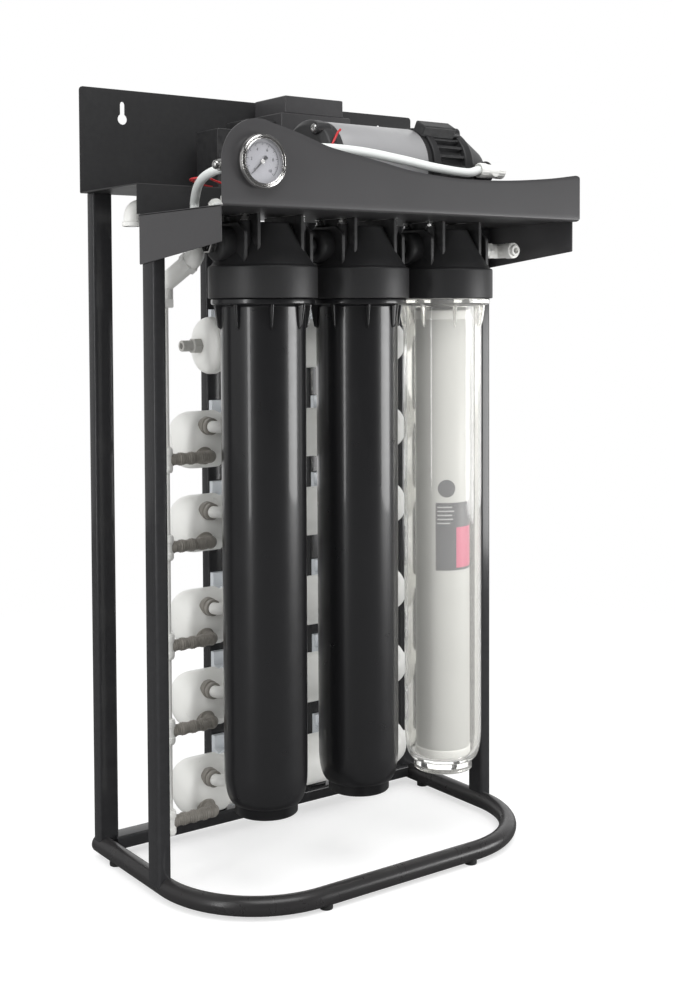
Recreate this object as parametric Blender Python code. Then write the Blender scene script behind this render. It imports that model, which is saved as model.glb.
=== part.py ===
"""Reverse osmosis water purifier on a floor stand, in metres, Z up.

The origin is on the floor under the middle of the part. X runs to the right,
Y to the back. Depths are counted forward from the plane of the back panel.
"""
import math

import bmesh
import bpy
from mathutils import Matrix, Vector

# Gaps, sheet and smoothness
fit_gap = 0.0003
overrun = 0.002
sheet = 0.0015
sheet_corner_radius = 0.004
large_sides = 20
vessel_sides = 12
middle_sides = 10
small_sides = 8
screw_sides = 6

# Width, from the row of housings
housing_spacing = 0.121
row_share = 1.5
side_margin = 0.053
panel_half_width = row_share * housing_spacing + side_margin

# Stand
ring_tube_radius = 0.010
rail_inset = 0.0155
rail_half_span = panel_half_width - rail_inset
ring_bend_radius = 0.115
ring_inset = 0.0305
rail_rear_depth = 0.001
ring_bend_steps = 6
ring_sides = 10
foot_height = 0.003
foot_radius = 0.007
foot_front_inset = 0.006
foot_front_half_span = rail_half_span - ring_bend_radius - foot_front_inset
foot_rear_depth = 0.040
stock_wide = 0.024
stock_thin = 0.015
stock_corner_radius = 0.003
front_post_setback = 0.013
rear_post_shift = 0.004
rear_post_x = rail_half_span - rear_post_shift
rear_post_inset = 0.0025
upright_x = 0.072
crossbar_rear_depth = 0.001

# Folded sheet
tray_rear_depth = 0.131
flange_inset = 0.003
flange_outer_x = panel_half_width - flange_inset
flange_front_inset = 0.008
flange_rear_drop = 0.050
flange_front_drop = 0.033
hump_inset = 0.041
hump_centre_x = hump_inset - panel_half_width
hump_centre_rise = 0.0425
hump_radius = 0.0405
panel_low_rise = 0.0390
hump_start_angle = math.radians(68)
hump_steps = 9
panel_corner_radius = 0.003
riser_rise = 0.032
back_rise = 0.117
back_inset = 0.001
back_half_width = panel_half_width - back_inset
sheet_bend_radius = 0.0015
keyhole_inset = 0.0535
keyhole_x = panel_half_width - keyhole_inset
keyhole_round_drop = 0.0325
keyhole_round_radius = 0.006
keyhole_slot_half_width = 0.003
keyhole_slot_drop = 0.013
keyhole_round_steps = 12
keyhole_slot_steps = 4
sheet_corner_steps = 3

# Filter housings
housing_row_x = -0.005
housing_setback = 0.069
head_rise = 0.085
skirt_height = 0.0315
skirt_radius = 0.0565
skirt_chamfer = 0.0015
skirt_bore_radius = 0.050
skirt_bore_height = 0.029
dome_top_rise = 0.077
dome_base_rise = 0.0345
dome_base_radius = 0.0525
dome_waist_rise = 0.052
dome_waist_radius = 0.0415
dome_crown_radius = 0.0300
dome_crown_rise = 0.0725
port_rise = 0.055
port_boss_radius = 0.018
port_boss_reach = 0.059
port_boss_start = 0.038
port_nub_radius = 0.010
port_bore_radius = 0.007
port_bore_depth = 0.022
passage_radius = 0.0045
inlet_passage_x = 0.036
spigot_radius = 0.0132
spigot_drop = 0.052
rib_inner_x = 0.0265
rib_outer_x = 0.040
rib_thickness = 0.0042
rib_half_depth = 0.034
rib_foot_rise = 0.033
rib_outer_edge_rise = 0.067
rib_outer_top_rise = 0.076
rib_outer_top_share = 0.6
rib_outer_half_depth = 0.030
screw_x = 0.034
screw_y = 0.020
screw_boss_radius = 0.0058
screw_boss_top_rise = 0.078
screw_radius = 0.002
screw_head_radius = 0.0042
screw_crown_radius = 0.0034
screw_head_height = 0.0026
screw_washer_radius = 0.005
neck_radius = 0.0490
neck_clear_height = 0.0038
neck_bore_radius = 0.0445
seal_minor_radius = 0.0016
seal_steps = 6
collar_radius = 0.0535
collar_height = 0.0057
collar_slope_height = 0.0022
bowl_radius = 0.044
bowl_low_radius = 0.0434
bowl_wall = 0.003
bowl_bottom = 0.088
bowl_length = 0.533
shoulder_rise = 0.044
base_ring_radius = 0.033
base_ring_height = 0.011
base_ring_inner_radius = 0.0275
base_recess = 0.005
bowl_floor = 0.016
bowl_floor_radius = 0.0325
neck_step_drop = 0.012
locator_radius = 0.0128
locator_bore_radius = 0.010
locator_height = 0.006
wedge_count = 8
wedge_thickness = 0.003
wedge_top_radius = 0.0515
wedge_tip_radius = 0.048
wedge_length = 0.027
wedge_tip_length = 0.0035
cartridge_radius = 0.0305
cartridge_end_radius = 0.0315
cartridge_end_height = 0.008
cartridge_bore_radius = 0.0146
cartridge_end_clear = 0.030
spigot_joint_radius = 0.0066
spigot_joint_length = 0.014

# Pressure gauge
gauge_shift = 0.0015
gauge_x = hump_centre_x + gauge_shift
gauge_rise = 0.0425
bezel_radius = 0.026
bezel_lip_radius = 0.0212
bezel_lip_thickness = 0.002
bezel_depth = 0.008
case_radius = 0.023
case_wall = 0.001
case_length = 0.028
case_front_proud = 0.0015
dial_thickness = 0.0008
needle_clear = 0.0008
needle_thickness = 0.0005
needle_length = 0.0165
needle_tail_length = 0.0065
needle_root_half_width = 0.0009
needle_tip_half_width = 0.0003
needle_tail_half_width = 0.0014
needle_hub_radius = 0.0024
needle_pin_radius = 0.0008
needle_pin_length = 0.003
needle_rest_angle = math.radians(225)
lens_thickness = 0.0012
stem_radius = 0.006
stem_length = 0.012
stem_nut_radius = 0.0095
stem_nut_length = 0.010
stem_stub_radius = 0.0045
stem_stub_reach = 0.018

# Booster pump
pump_rear_clear = 0.030
pump_front_clear = 0.0485
pump_rise = 0.058
pump_can_radius = 0.042
pump_can_bore_radius = 0.028
pump_can_left_x = -0.062
pump_can_right_x = 0.064
pump_cap_length = 0.019
pump_cap_radius = 0.043
pump_cap_chamfer = 0.006
pump_bearing_radius = 0.0044
pump_bearing_depth = 0.012
pump_ear_radius = 0.0065
pump_ear_offset = 0.044
pump_ear_angle = math.radians(120)
pump_ear_length = 0.009
rotor_radius = 0.0265
rotor_length = 0.092
rotor_shaft_radius = 0.004
rotor_commutator_radius = 0.011
rotor_commutator_length = 0.016
pump_flange_radius = 0.044
pump_flange_length = 0.0095
pump_barrel_radius = 0.037
pump_barrel_length = 0.035
pump_cover_length = 0.036
pump_cover_end_radius = 0.024
pump_rib_count = 8
pump_rib_thickness = 0.004
pump_rib_radius = 0.0425
pump_cavity_radius = 0.026
pump_cavity_depth = 0.020
pump_port_setback = 0.0177
pump_port_radius = 0.0095
pump_port_reach = 0.047
pump_port_bore_radius = 0.0060
pump_port_bore_depth = 0.012
pump_port_drop = 0.004
bracket_left_x = -0.036
bracket_right_x = 0.042
bracket_half_depth = 0.040
bracket_rise = 0.026
bracket_slot_half_depth = 0.031
bracket_slot_rise = 0.007

# Power supply, controller and feed valve
power_left_x = -0.020
power_right_x = 0.078
power_rear_depth = 0.008
power_front_depth = 0.080
power_height = 0.094
lid_inset = 0.008
lid_height = 0.020
socket_radius = 0.006
socket_length = 0.004
box_edge_radius = 0.0015
controller_left_x = -0.098
controller_step_x = -0.058
controller_rear_depth = 0.022
controller_front_depth = 0.068
controller_low_height = 0.072
controller_high_height = 0.085
valve_shift = 0.0535
valve_x = hump_centre_x + valve_shift
valve_setback = 0.045
valve_half_length = 0.017
valve_half_width = 0.011
valve_body_height = 0.020
valve_port_radius = 0.008
valve_port_reach = 0.026
valve_port_bore_radius = 0.0056
valve_port_bore_depth = 0.010
valve_port_rise = 0.0106
valve_stand_height = 0.0004
coil_half_length = 0.014
coil_half_width = 0.012
coil_height = 0.024
plunger_radius = 0.0045
plunger_length = 0.018
plunger_clear = 0.0006
plunger_bore_height = 0.022
plunger_seat_depth = 0.004

# Membrane vessels and inline filter
vessel_depth = 0.056
vessel_low_height = 0.074
vessel_high_drop = 0.156
vessel_height_shares = (0.0, 0.252, 0.488, 0.760, 1.0)
vessel_radius = 0.0285
vessel_wall = 0.003
vessel_left_x = -0.116
vessel_right_x = 0.150
vessel_end_length = 0.016
vessel_shoulder_radius_share = 0.8
vessel_shoulder_length_share = 0.7
vessel_end_boss_radius = 0.0085
vessel_end_boss_length = 0.012
vessel_bore_radius = 0.0042
cap_radius = 0.032
cap_skirt_right_x = -0.098
cap_dome_start_x = -0.126
cap_tip_x = -0.151
cap_dome_steps = 3
cap_dome_end_share = 0.22
cap_port_radius = 0.0082
cap_port_upper_x = -0.124
cap_port_upper_rise = 0.017
cap_port_lower_x = -0.129
cap_port_lower_drop = 0.015
cap_port_reach = 0.0325
element_radius = 0.0252
element_tube_radius = 0.008
element_left_x = -0.106
element_right_x = 0.136
element_tube_length = 0.006
clip_width = 0.020
clip_band = 0.0028
clip_mouth_angle = math.radians(52)
clip_steps = 6
clip_base_half_height = 0.012
clip_lug_reach = 0.0405
clip_lug_foot = 0.026
clip_lug_thickness = 0.007
clip_back_steps = 2
filter_drop = 0.0512
filter_dome_tip_x = -0.116
filter_dome_start_x = -0.103
filter_nut_radius = 0.0085
filter_nut_length = 0.011
filter_stub_radius = 0.0062
filter_stub_length = 0.013
filter_stub_bore_radius = 0.0035

# Fittings, manifold, tubes and leads
manifold_inset = 0.0475
manifold_x = manifold_inset - panel_half_width
manifold_setback = 0.0455
manifold_bottom = 0.048
manifold_rise = 0.006
manifold_tee_radius = 0.0082
manifold_tee_half_length = 0.014
water_tube_radius = 0.00475
water_tube_sides = 8
tube_steps = 2
stem_fitting_radius = 0.0065
elbow_radius = 0.0090
elbow_leg = 0.0135
elbow_bend_share = 1.1
elbow_bend_steps = 3
upper_stub_reach = 0.024
outlet_offset = 0.023
outlet_elbow_x = housing_row_x + 2 * housing_spacing - port_boss_reach + outlet_offset
outlet_elbow_radius = 0.0090
outlet_arm_radius = 0.0083
outlet_reach = 0.027
outlet_bore_radius = 0.0062
outlet_bore_depth = 0.014
collet_radius = 0.0058
collet_bore_radius = 0.0034
collet_length = 0.013
collet_rim_radius = 0.0060
collet_rim_length = 0.0016
collet_travel = 0.0015
bushing_hex_radius = 0.0105
bushing_hex_length = 0.009
bushing_bore_radius = 0.0048
feed_elbow_inset = 0.0235
feed_elbow_x = feed_elbow_inset - panel_half_width
bulkhead_clear_share = 1.12
feed_bulkhead_rise = 0.0125
feed_bulkhead_leg = 0.0515
feed_bulkhead_drop = 0.011
down_tube_inset = 0.0625
down_tube_x = down_tube_inset - panel_half_width
down_tube_setback = 0.0105
down_elbow_top_drop = 0.018
down_elbow_low_drop = 0.042
tube_straight = 0.0075
joint_radius = 0.0078
joint_setoff = 0.0085
joint_nose_reach = 0.014
joint_tail_reach = 0.020
tube_hole_rise = 0.014
pressure_route_shares = ((0.4051, 0.6459, 0.8621), (0.2132, 0.6568, 0.9103),
                         (0.0111, 0.6568, 1.0121), (-0.2132, 0.6568, 1.0983),
                         (-0.4264, 0.6135, 1.1121), (-0.6183, 0.4405, 1.0345),
                         (-0.7377, 0.2568, 0.8621), (-0.7765, 0.0849, 0.7638),
                         (-0.7872, -0.0966, 0.7155), (-0.7808, -0.3669, 0.6414),
                         (-0.7633, -0.5966, 0.5276), (-0.7458, -0.7588, 0.3862))
suction_route_shares = ((-0.4200, -0.5642, 0.2241), (-0.3625, -0.8345, 0.2414),
                        (0.0, -0.8682, 0.2414), (0.3412, -0.8682, 0.2759),
                        (0.5565, -0.8682, 0.4138), (0.5467, -0.8615, 0.6724))

# Depths and heights that follow from the sizes above
pump_depth = tray_rear_depth + pump_rear_clear + pump_flange_radius
panel_front_depth = pump_depth + pump_flange_radius + pump_front_clear
flange_front_depth = panel_front_depth - flange_front_inset
ring_depth = panel_front_depth - ring_inset
front_post_depth = tray_rear_depth + front_post_setback
housing_depth = tray_rear_depth + housing_setback
valve_depth = tray_rear_depth + valve_setback
down_tube_depth = tray_rear_depth + down_tube_setback
manifold_depth = vessel_depth + manifold_setback
skirt_bottom = bowl_bottom + bowl_length
shoulder_height = bowl_bottom + shoulder_rise
cartridge_length = bowl_length - cartridge_end_clear
tray_height = skirt_bottom + head_rise
pump_height = tray_height + pump_rise
shelf_height = tray_height + riser_rise
back_top_height = shelf_height + back_rise
keyhole_round_height = back_top_height - keyhole_round_drop
keyhole_slot_top = back_top_height - keyhole_slot_drop
vessel_high_height = skirt_bottom - vessel_high_drop
filter_height = skirt_bottom - filter_drop
manifold_top = skirt_bottom + manifold_rise
feed_bulkhead_height = tray_height + feed_bulkhead_rise
down_elbow_top = tray_height - down_elbow_top_drop
down_elbow_low = tray_height - down_elbow_low_drop
back_y = (panel_front_depth + bezel_depth) / 2


def at_depth(depth):
    """World Y of a place that lies depth in front of the back plane."""
    return back_y - depth


materials = {}


def material(name, colour, roughness, metallic=0.0, alpha=1.0):
    """One Principled material, made once and then shared."""
    if name not in materials:
        item = bpy.data.materials.new(name)
        item.use_nodes = True
        shader = item.node_tree.nodes["Principled BSDF"]
        shader.inputs["Base Color"].default_value = (*colour, 1.0)
        shader.inputs["Roughness"].default_value = roughness
        shader.inputs["Metallic"].default_value = metallic
        shader.inputs["Alpha"].default_value = alpha
        materials[name] = item
    return materials[name]


def black_steel():
    return material("black_powder_coat", (0.035, 0.034, 0.036), 0.5)


def black_plastic():
    return material("black_plastic", (0.018, 0.018, 0.019), 0.35)


def white_plastic():
    return material("white_plastic", (0.78, 0.80, 0.77), 0.4)


def grey_plastic():
    return material("grey_plastic", (0.42, 0.42, 0.40), 0.5)


def bright_steel():
    return material("bright_steel", (0.72, 0.72, 0.70), 0.25, 1.0)


def rubber():
    return material("black_rubber", (0.02, 0.02, 0.02), 0.8)


def clear_plastic():
    return material("clear_plastic", (0.85, 0.87, 0.86), 0.08, 0.0, 0.35)


def mesh_object(name, mesh_maker, look):
    """An object whose mesh comes from a filled bmesh, with outward faces."""
    work = bmesh.new()
    mesh_maker(work)
    bmesh.ops.recalc_face_normals(work, faces=work.faces)
    mesh = bpy.data.meshes.new(name)
    work.to_mesh(mesh)
    work.free()
    mesh.materials.append(look)
    item = bpy.data.objects.new(name, mesh)
    bpy.context.collection.objects.link(item)
    return item


def smooth(item, angle=math.radians(40)):
    """Smooth shading with sharp edges kept where faces turn quickly."""
    item.data.shade_smooth()
    item.data.set_sharp_from_angle(angle=angle)
    return item


def axis_matrix(axis, origin):
    """Turns a shape made along Z so that it runs along the axis from origin."""
    turn = Vector((0, 0, 1)).rotation_difference(Vector(axis)).to_matrix().to_4x4()
    return Matrix.Translation(Vector(origin)) @ turn


def turned(name, profile, look, origin=(0, 0, 0), axis=(0, 0, 1), sides=large_sides):
    """A turned solid. The profile is a list of (radius, height) pairs.

    It starts and ends on the axis, or else it is a loop clear of the axis.
    """
    on_axis = profile[0][0] == 0 and profile[-1][0] == 0
    place = axis_matrix(axis, origin)

    def fill(work):
        rows = []
        for radius, height in profile:
            if radius == 0:
                rows.append([work.verts.new(place @ Vector((0, 0, height)))])
                continue
            row = []
            for step in range(sides):
                angle = 2 * math.pi * (step + 0.5) / sides
                point = Vector((radius * math.cos(angle), radius * math.sin(angle), height))
                row.append(work.verts.new(place @ point))
            rows.append(row)
        pairs = list(zip(rows[:-1], rows[1:]))
        if not on_axis:
            pairs.append((rows[-1], rows[0]))
        for low, high in pairs:
            for step in range(sides):
                after = (step + 1) % sides
                corners = [low[step % len(low)], low[after % len(low)],
                           high[after % len(high)], high[step % len(high)]]
                kept = [corner for n, corner in enumerate(corners) if corner not in corners[:n]]
                if len(kept) > 2:
                    work.faces.new(kept)

    return smooth(mesh_object(name, fill, look))


def rod(name, radius, start, end, look, sides=small_sides):
    """A plain round bar from one point to another."""
    length = (Vector(end) - Vector(start)).length
    axis = (Vector(end) - Vector(start)).normalized()
    profile = [(0, 0), (radius, 0), (radius, length), (0, length)]
    return turned(name, profile, look, start, axis, sides)


def prism(name, outline, start, end, look, plane="XZ"):
    """A flat outline drawn in a plane and pushed from start to end across it."""
    def place(pair, across):
        first, second = pair
        if plane == "XZ":
            return Vector((first, across, second))
        if plane == "YZ":
            return Vector((across, first, second))
        return Vector((first, second, across))

    def fill(work):
        near = [work.verts.new(place(pair, start)) for pair in outline]
        far = [work.verts.new(place(pair, end)) for pair in outline]
        work.faces.new(near)
        work.faces.new(list(reversed(far)))
        count = len(outline)
        for step in range(count):
            after = (step + 1) % count
            work.faces.new([near[after], near[step], far[step], far[after]])

    return mesh_object(name, fill, look)


def block(name, low, high, look, edge=0.0):
    """A box between two corners, with its edges rounded where edge isn't zero."""
    def fill(work):
        size = Vector(high) - Vector(low)
        middle = (Vector(high) + Vector(low)) / 2
        grow = Matrix.Translation(middle) @ Matrix.Diagonal((*size, 1))
        bmesh.ops.create_cube(work, size=1, matrix=grow)
        if edge > 0:
            bmesh.ops.bevel(work, geom=list(work.edges), offset=edge, segments=2,
                            profile=0.5, affect="EDGES")

    return smooth(mesh_object(name, fill, look))


def rounded_outline(corners, radius, steps=3):
    """A closed outline with each corner replaced by a short arc."""
    points = []
    count = len(corners)
    for index in range(count):
        before = Vector(corners[index - 1])
        here = Vector(corners[index])
        after = Vector(corners[(index + 1) % count])
        to_before = (before - here).normalized()
        to_after = (after - here).normalized()
        half = to_before.angle(to_after) / 2
        inward = (to_before + to_after).normalized()
        centre = here + inward * (radius / math.sin(half))
        begin = here + to_before * (radius / math.tan(half)) - centre
        finish = here + to_after * (radius / math.tan(half)) - centre
        sweep = begin.angle_signed(finish)
        for step in range(steps + 1):
            turn = Matrix.Rotation(-sweep * step / steps, 2)
            points.append(tuple(centre + turn @ begin))
    return points


def swept(name, path, radius, look, sides=small_sides):
    """A round bar that follows a path of points, with flat ends."""
    points = [Vector(point) for point in path]

    def fill(work):
        rings = []
        side = None
        for index, point in enumerate(points):
            before = points[max(index - 1, 0)]
            after = points[min(index + 1, len(points) - 1)]
            entering = (point - before).normalized() if index else (after - point).normalized()
            leaving = (after - point).normalized() if index < len(points) - 1 else entering
            along = (entering + leaving).normalized()
            stretch = 1 / max(along.dot(entering), 0.2)
            if side is None:
                side = along.orthogonal().normalized()
            side = (side - along * side.dot(along)).normalized()
            up = along.cross(side)
            fold = entering - leaving
            ring = []
            for step in range(sides):
                angle = 2 * math.pi * step / sides
                spoke = side * math.cos(angle) + up * math.sin(angle)
                if fold.length > 0:
                    across = (fold - along * fold.dot(along)).normalized()
                    spoke += across * spoke.dot(across) * (stretch - 1)
                ring.append(work.verts.new(point + spoke * radius))
            rings.append(ring)
        work.faces.new(rings[0])
        work.faces.new(list(reversed(rings[-1])))
        for low, high in zip(rings[:-1], rings[1:]):
            for step in range(sides):
                after = (step + 1) % sides
                work.faces.new([low[after], low[step], high[step], high[after]])

    return smooth(mesh_object(name, fill, look))


def rounded_path(corners, radius, steps=elbow_bend_steps):
    """Points of a path whose inner corners are arcs of one radius."""
    points = [tuple(corners[0])]
    for index in range(1, len(corners) - 1):
        here = Vector(corners[index])
        back = (Vector(corners[index - 1]) - here).normalized()
        ahead = (Vector(corners[index + 1]) - here).normalized()
        half = back.angle(ahead) / 2
        centre = here + (back + ahead).normalized() * (radius / math.sin(half))
        begin = here + back * (radius / math.tan(half)) - centre
        finish = here + ahead * (radius / math.tan(half)) - centre
        for step in range(steps + 1):
            spoke = begin.slerp(finish, step / steps).normalized()
            points.append(tuple(centre + spoke * radius))
    points.append(tuple(corners[-1]))
    return points


def curve_line(corners, steps):
    """Points of a smooth line that passes through every corner."""
    guides = [Vector(corner) for corner in corners]
    guides = [guides[0] * 2 - guides[1]] + guides + [guides[-1] * 2 - guides[-2]]
    points = []
    for index in range(1, len(guides) - 2):
        before, here, after, beyond = guides[index - 1:index + 3]
        for step in range(steps):
            share = step / steps
            points.append(tuple(0.5 * ((2 * here) + (after - before) * share
                                       + (2 * before - 5 * here + 4 * after - beyond) * share ** 2
                                       + (3 * here - before - 3 * after + beyond) * share ** 3)))
    points.append(tuple(guides[-2]))
    return points


def combine(target, tools, operation="UNION"):
    """Joins tools to a target or cuts them from it, and drops the tools."""
    for tool in tools:
        change = target.modifiers.new("combine", "BOOLEAN")
        change.operation = operation
        change.solver = "EXACT"
        change.object = tool
    bpy.context.view_layer.update()
    graph = bpy.context.evaluated_depsgraph_get()
    mesh = bpy.data.meshes.new_from_object(target.evaluated_get(graph))
    target.modifiers.clear()
    target.data = mesh
    for tool in tools:
        bpy.data.objects.remove(tool)
    return smooth(target)


def merged(name, items, look):
    """One object that holds several separate solids of the same kind."""
    def fill(work):
        for item in items:
            copy = item.data.copy()
            copy.transform(item.matrix_basis)
            work.from_mesh(copy)
            bpy.data.meshes.remove(copy)

    group = mesh_object(name, fill, look)
    for item in items:
        bpy.data.objects.remove(item)
    return smooth(group)


def copied(name, source, offset, look):
    """A second object with the same mesh, moved into its place."""
    mesh = source.data.copy()
    mesh.transform(Matrix.Translation(Vector(offset)))
    mesh.materials.clear()
    mesh.materials.append(look)
    item = bpy.data.objects.new(name, mesh)
    bpy.context.collection.objects.link(item)
    return item


def centred(item, origin):
    """Puts the origin of a moving piece on its joint, with its shape unmoved."""
    item.data.transform(Matrix.Translation(-Vector(origin)))
    item.location = Vector(origin)
    return item


def ring_path():
    """Centre line of the bent floor ring, from its left rear end to its right."""
    height = foot_height + ring_tube_radius
    straight = ring_depth - ring_bend_radius
    left = [(-rail_half_span, at_depth(rail_rear_depth), height)]
    for step in range(ring_bend_steps + 1):
        angle = math.pi / 2 * step / ring_bend_steps
        x = -rail_half_span + ring_bend_radius * (1 - math.cos(angle))
        left.append((x, at_depth(straight + ring_bend_radius * math.sin(angle)), height))
    return left + [(-x, y, z) for x, y, z in reversed(left)]


def stock_outline(centre_x, centre_y, half_x, half_y):
    """Cross-section of a box tube with rounded corners."""
    corners = [(centre_x - half_x, centre_y - half_y), (centre_x + half_x, centre_y - half_y),
               (centre_x + half_x, centre_y + half_y), (centre_x - half_x, centre_y + half_y)]
    return rounded_outline(corners, stock_corner_radius)


def build_stand():
    """The floor ring on its feet, its cross bar, four posts and two uprights."""
    look = black_steel()
    ring = swept("base_ring", ring_path(), ring_tube_radius, look, ring_sides)
    ring_height = foot_height + ring_tube_radius
    feet = []
    for side in (-1, 1):
        for x, depth in ((side * foot_front_half_span, ring_depth),
                         (side * rail_half_span, foot_rear_depth)):
            feet.append(rod("foot", foot_radius, (x, at_depth(depth), 0),
                            (x, at_depth(depth), ring_height), look))
    combine(ring, feet)

    rear_centre = at_depth(rear_post_inset + stock_thin / 2)
    front_centre = at_depth(front_post_depth)
    front_x = flange_outer_x - sheet - fit_gap - stock_thin / 2
    places = (("post_front", front_x, front_centre, stock_thin / 2, stock_wide / 2,
               tray_height - fit_gap),
              ("post_rear", rear_post_x, rear_centre, stock_wide / 2, stock_thin / 2,
               shelf_height - fit_gap))
    for name, x, y, half_x, half_y, top in places:
        for side, word in ((-1, "left"), (1, "right")):
            post = prism(name + "_" + word, stock_outline(side * x, y, half_x, half_y),
                         ring_height, top, look, "XY")
            cope = swept("cope", ring_path(), ring_tube_radius + fit_gap, look, ring_sides)
            combine(post, [cope], "DIFFERENCE")

    bar_low = ring_height - stock_thin / 2 + foot_height
    bar_end = rail_half_span - ring_tube_radius - fit_gap
    bar_rear = at_depth(crossbar_rear_depth)
    bar_outline = rounded_outline(
        [(bar_rear - stock_wide, bar_low), (bar_rear, bar_low),
         (bar_rear, bar_low + stock_thin), (bar_rear - stock_wide, bar_low + stock_thin)],
        stock_corner_radius)
    bar = prism("rear_crossbar", bar_outline, -bar_end, bar_end, look, "YZ")
    notches = []
    for side in (-1, 1):
        inner = rear_post_x - stock_wide / 2 - fit_gap
        notches.append(block("notch", (min(side * inner, side * rail_half_span),
                                       rear_centre - stock_thin / 2 - fit_gap, 0),
                             (max(side * inner, side * rail_half_span),
                              back_y + overrun, shelf_height), look))
    combine(bar, notches, "DIFFERENCE")
    for side, word in ((-1, "left"), (1, "right")):
        prism("upright_" + word, stock_outline(side * upright_x, rear_centre, stock_wide / 2,
                                               stock_thin / 2),
              bar_low + stock_thin + fit_gap, shelf_height - fit_gap, look, "XY")


def panel_outline():
    """Front panel seen from the front: a round hump, then a long falling wave."""
    base = tray_height
    left = -panel_half_width
    points = [(left, base), (panel_half_width, base)]
    span = panel_half_width - hump_centre_x
    hump_height = hump_centre_rise + hump_radius
    rise = hump_height - panel_low_rise
    wave_shares = ((0.985, 0.272), (0.88, 0.140), (0.735, 0.028), (0.600, 0.0), (0.508, 0.041),
                   (0.422, 0.126), (0.337, 0.273), (0.222, 0.457), (0.181, 0.541),
                   (0.104, 0.772))
    corner_x = panel_half_width
    corner_z = base + panel_low_rise + wave_shares[0][1] * rise
    for step in range(3):
        angle = math.pi / 4 * step
        points.append((corner_x - panel_corner_radius * (1 - math.cos(angle)),
                       corner_z - panel_corner_radius * (1 - math.sin(angle))))
    guides = [(hump_centre_x + share_x * span, base + panel_low_rise + share_z * rise, 0)
              for share_x, share_z in wave_shares]
    points += [(x, z) for x, z, _ in curve_line(guides, 2)][1:]
    for step in range(hump_steps + 1):
        angle = hump_start_angle + (math.pi - hump_start_angle) * step / hump_steps
        points.append((hump_centre_x + hump_radius * math.cos(angle),
                       base + hump_centre_rise + hump_radius * math.sin(angle)))
    return points


def head_centres():
    """World X of the three housings, from the left."""
    return [housing_row_x + step * housing_spacing for step in (-1, 0, 1)]


def build_sheet():
    """The tray with its flanges and front panel, and the back panel with its shelf."""
    look = black_steel()
    top = tray_height + sheet
    floor = block("tray", (-flange_outer_x, at_depth(panel_front_depth - sheet_bend_radius),
                           tray_height),
                  (flange_outer_x, at_depth(tray_rear_depth - sheet), top), look)
    front = prism("front", panel_outline(), at_depth(panel_front_depth),
                  at_depth(panel_front_depth - sheet), look, "XZ")
    parts = [front]
    for side in (-1, 1):
        outline = [(at_depth(tray_rear_depth), top),
                   (at_depth(tray_rear_depth), tray_height - flange_rear_drop),
                   (at_depth(flange_front_depth), tray_height - flange_front_drop),
                   (at_depth(flange_front_depth), top)]
        low, high = sorted((side * flange_outer_x, side * (flange_outer_x - sheet)))
        parts.append(prism("flange", outline, low, high, look, "YZ"))
    combine(floor, parts)

    cuts = [rod("hole", case_radius + fit_gap,
                (gauge_x, at_depth(panel_front_depth + overrun), tray_height + gauge_rise),
                (gauge_x, at_depth(panel_front_depth - sheet - overrun),
                 tray_height + gauge_rise), look, large_sides)]
    for centre in head_centres():
        for side_x in (-1, 1):
            for side_y in (-1, 1):
                spot = (centre + side_x * screw_x, at_depth(housing_depth) + side_y * screw_y)
                cuts.append(rod("hole", screw_radius + fit_gap, (*spot, tray_height - overrun),
                                (*spot, top + overrun), look, small_sides))
    spot = (down_tube_x, at_depth(down_tube_depth))
    cuts.append(rod("hole", water_tube_radius + 2 * fit_gap, (*spot, tray_height - overrun),
                    (*spot, top + overrun), look, small_sides))
    combine(floor, [merged("cuts", cuts, look)], "DIFFERENCE")

    riser_foot = top + fit_gap
    outline = [(back_y, back_top_height), (back_y, shelf_height + sheet_bend_radius),
               (back_y - sheet_bend_radius, shelf_height),
               (at_depth(tray_rear_depth - sheet), shelf_height),
               (at_depth(tray_rear_depth - sheet), riser_foot),
               (at_depth(tray_rear_depth), riser_foot),
               (at_depth(tray_rear_depth), shelf_height + sheet - sheet_bend_radius / 2),
               (at_depth(tray_rear_depth - sheet_bend_radius / 2), shelf_height + sheet),
               (back_y - sheet, shelf_height + sheet), (back_y - sheet, back_top_height)]
    back = prism("back_panel", outline, -back_half_width, back_half_width, look, "YZ")
    cuts = []
    for side in (-1, 1):
        x = side * keyhole_x
        round_angle = math.asin(keyhole_slot_half_width / keyhole_round_radius)
        shape = []
        for step in range(keyhole_round_steps + 1):
            angle = (math.pi / 2 + round_angle
                     + (2 * math.pi - 2 * round_angle) * step / keyhole_round_steps)
            shape.append((x + keyhole_round_radius * math.cos(angle),
                          keyhole_round_height + keyhole_round_radius * math.sin(angle)))
        for step in range(keyhole_slot_steps + 1):
            angle = math.pi * step / keyhole_slot_steps
            shape.append((x + keyhole_slot_half_width * math.cos(angle),
                          keyhole_slot_top - keyhole_slot_half_width
                          + keyhole_slot_half_width * math.sin(angle)))
        cuts.append(prism("keyhole", shape, back_y - sheet - overrun, back_y + overrun,
                          look, "XZ"))
        corner = side * back_half_width
        curve = [(corner + side * overrun, back_top_height + overrun),
                 (corner + side * overrun, back_top_height - sheet_corner_radius)]
        for step in range(sheet_corner_steps + 1):
            angle = math.pi / 2 * step / sheet_corner_steps
            curve.append((corner - side * sheet_corner_radius * (1 - math.cos(angle)),
                          back_top_height - sheet_corner_radius * (1 - math.sin(angle))))
        curve.append((corner - side * sheet_corner_radius, back_top_height + overrun))
        cuts.append(prism("corner", curve, back_y - sheet - overrun, back_y + overrun,
                          look, "XZ"))
    cuts.append(rod("hole", elbow_radius * bulkhead_clear_share,
                    (valve_x, at_depth(tray_rear_depth + overrun), feed_bulkhead_height),
                    (valve_x, at_depth(tray_rear_depth - sheet - overrun),
                     feed_bulkhead_height), look, small_sides))
    combine(back, [merged("cuts", cuts, look)], "DIFFERENCE")


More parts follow.
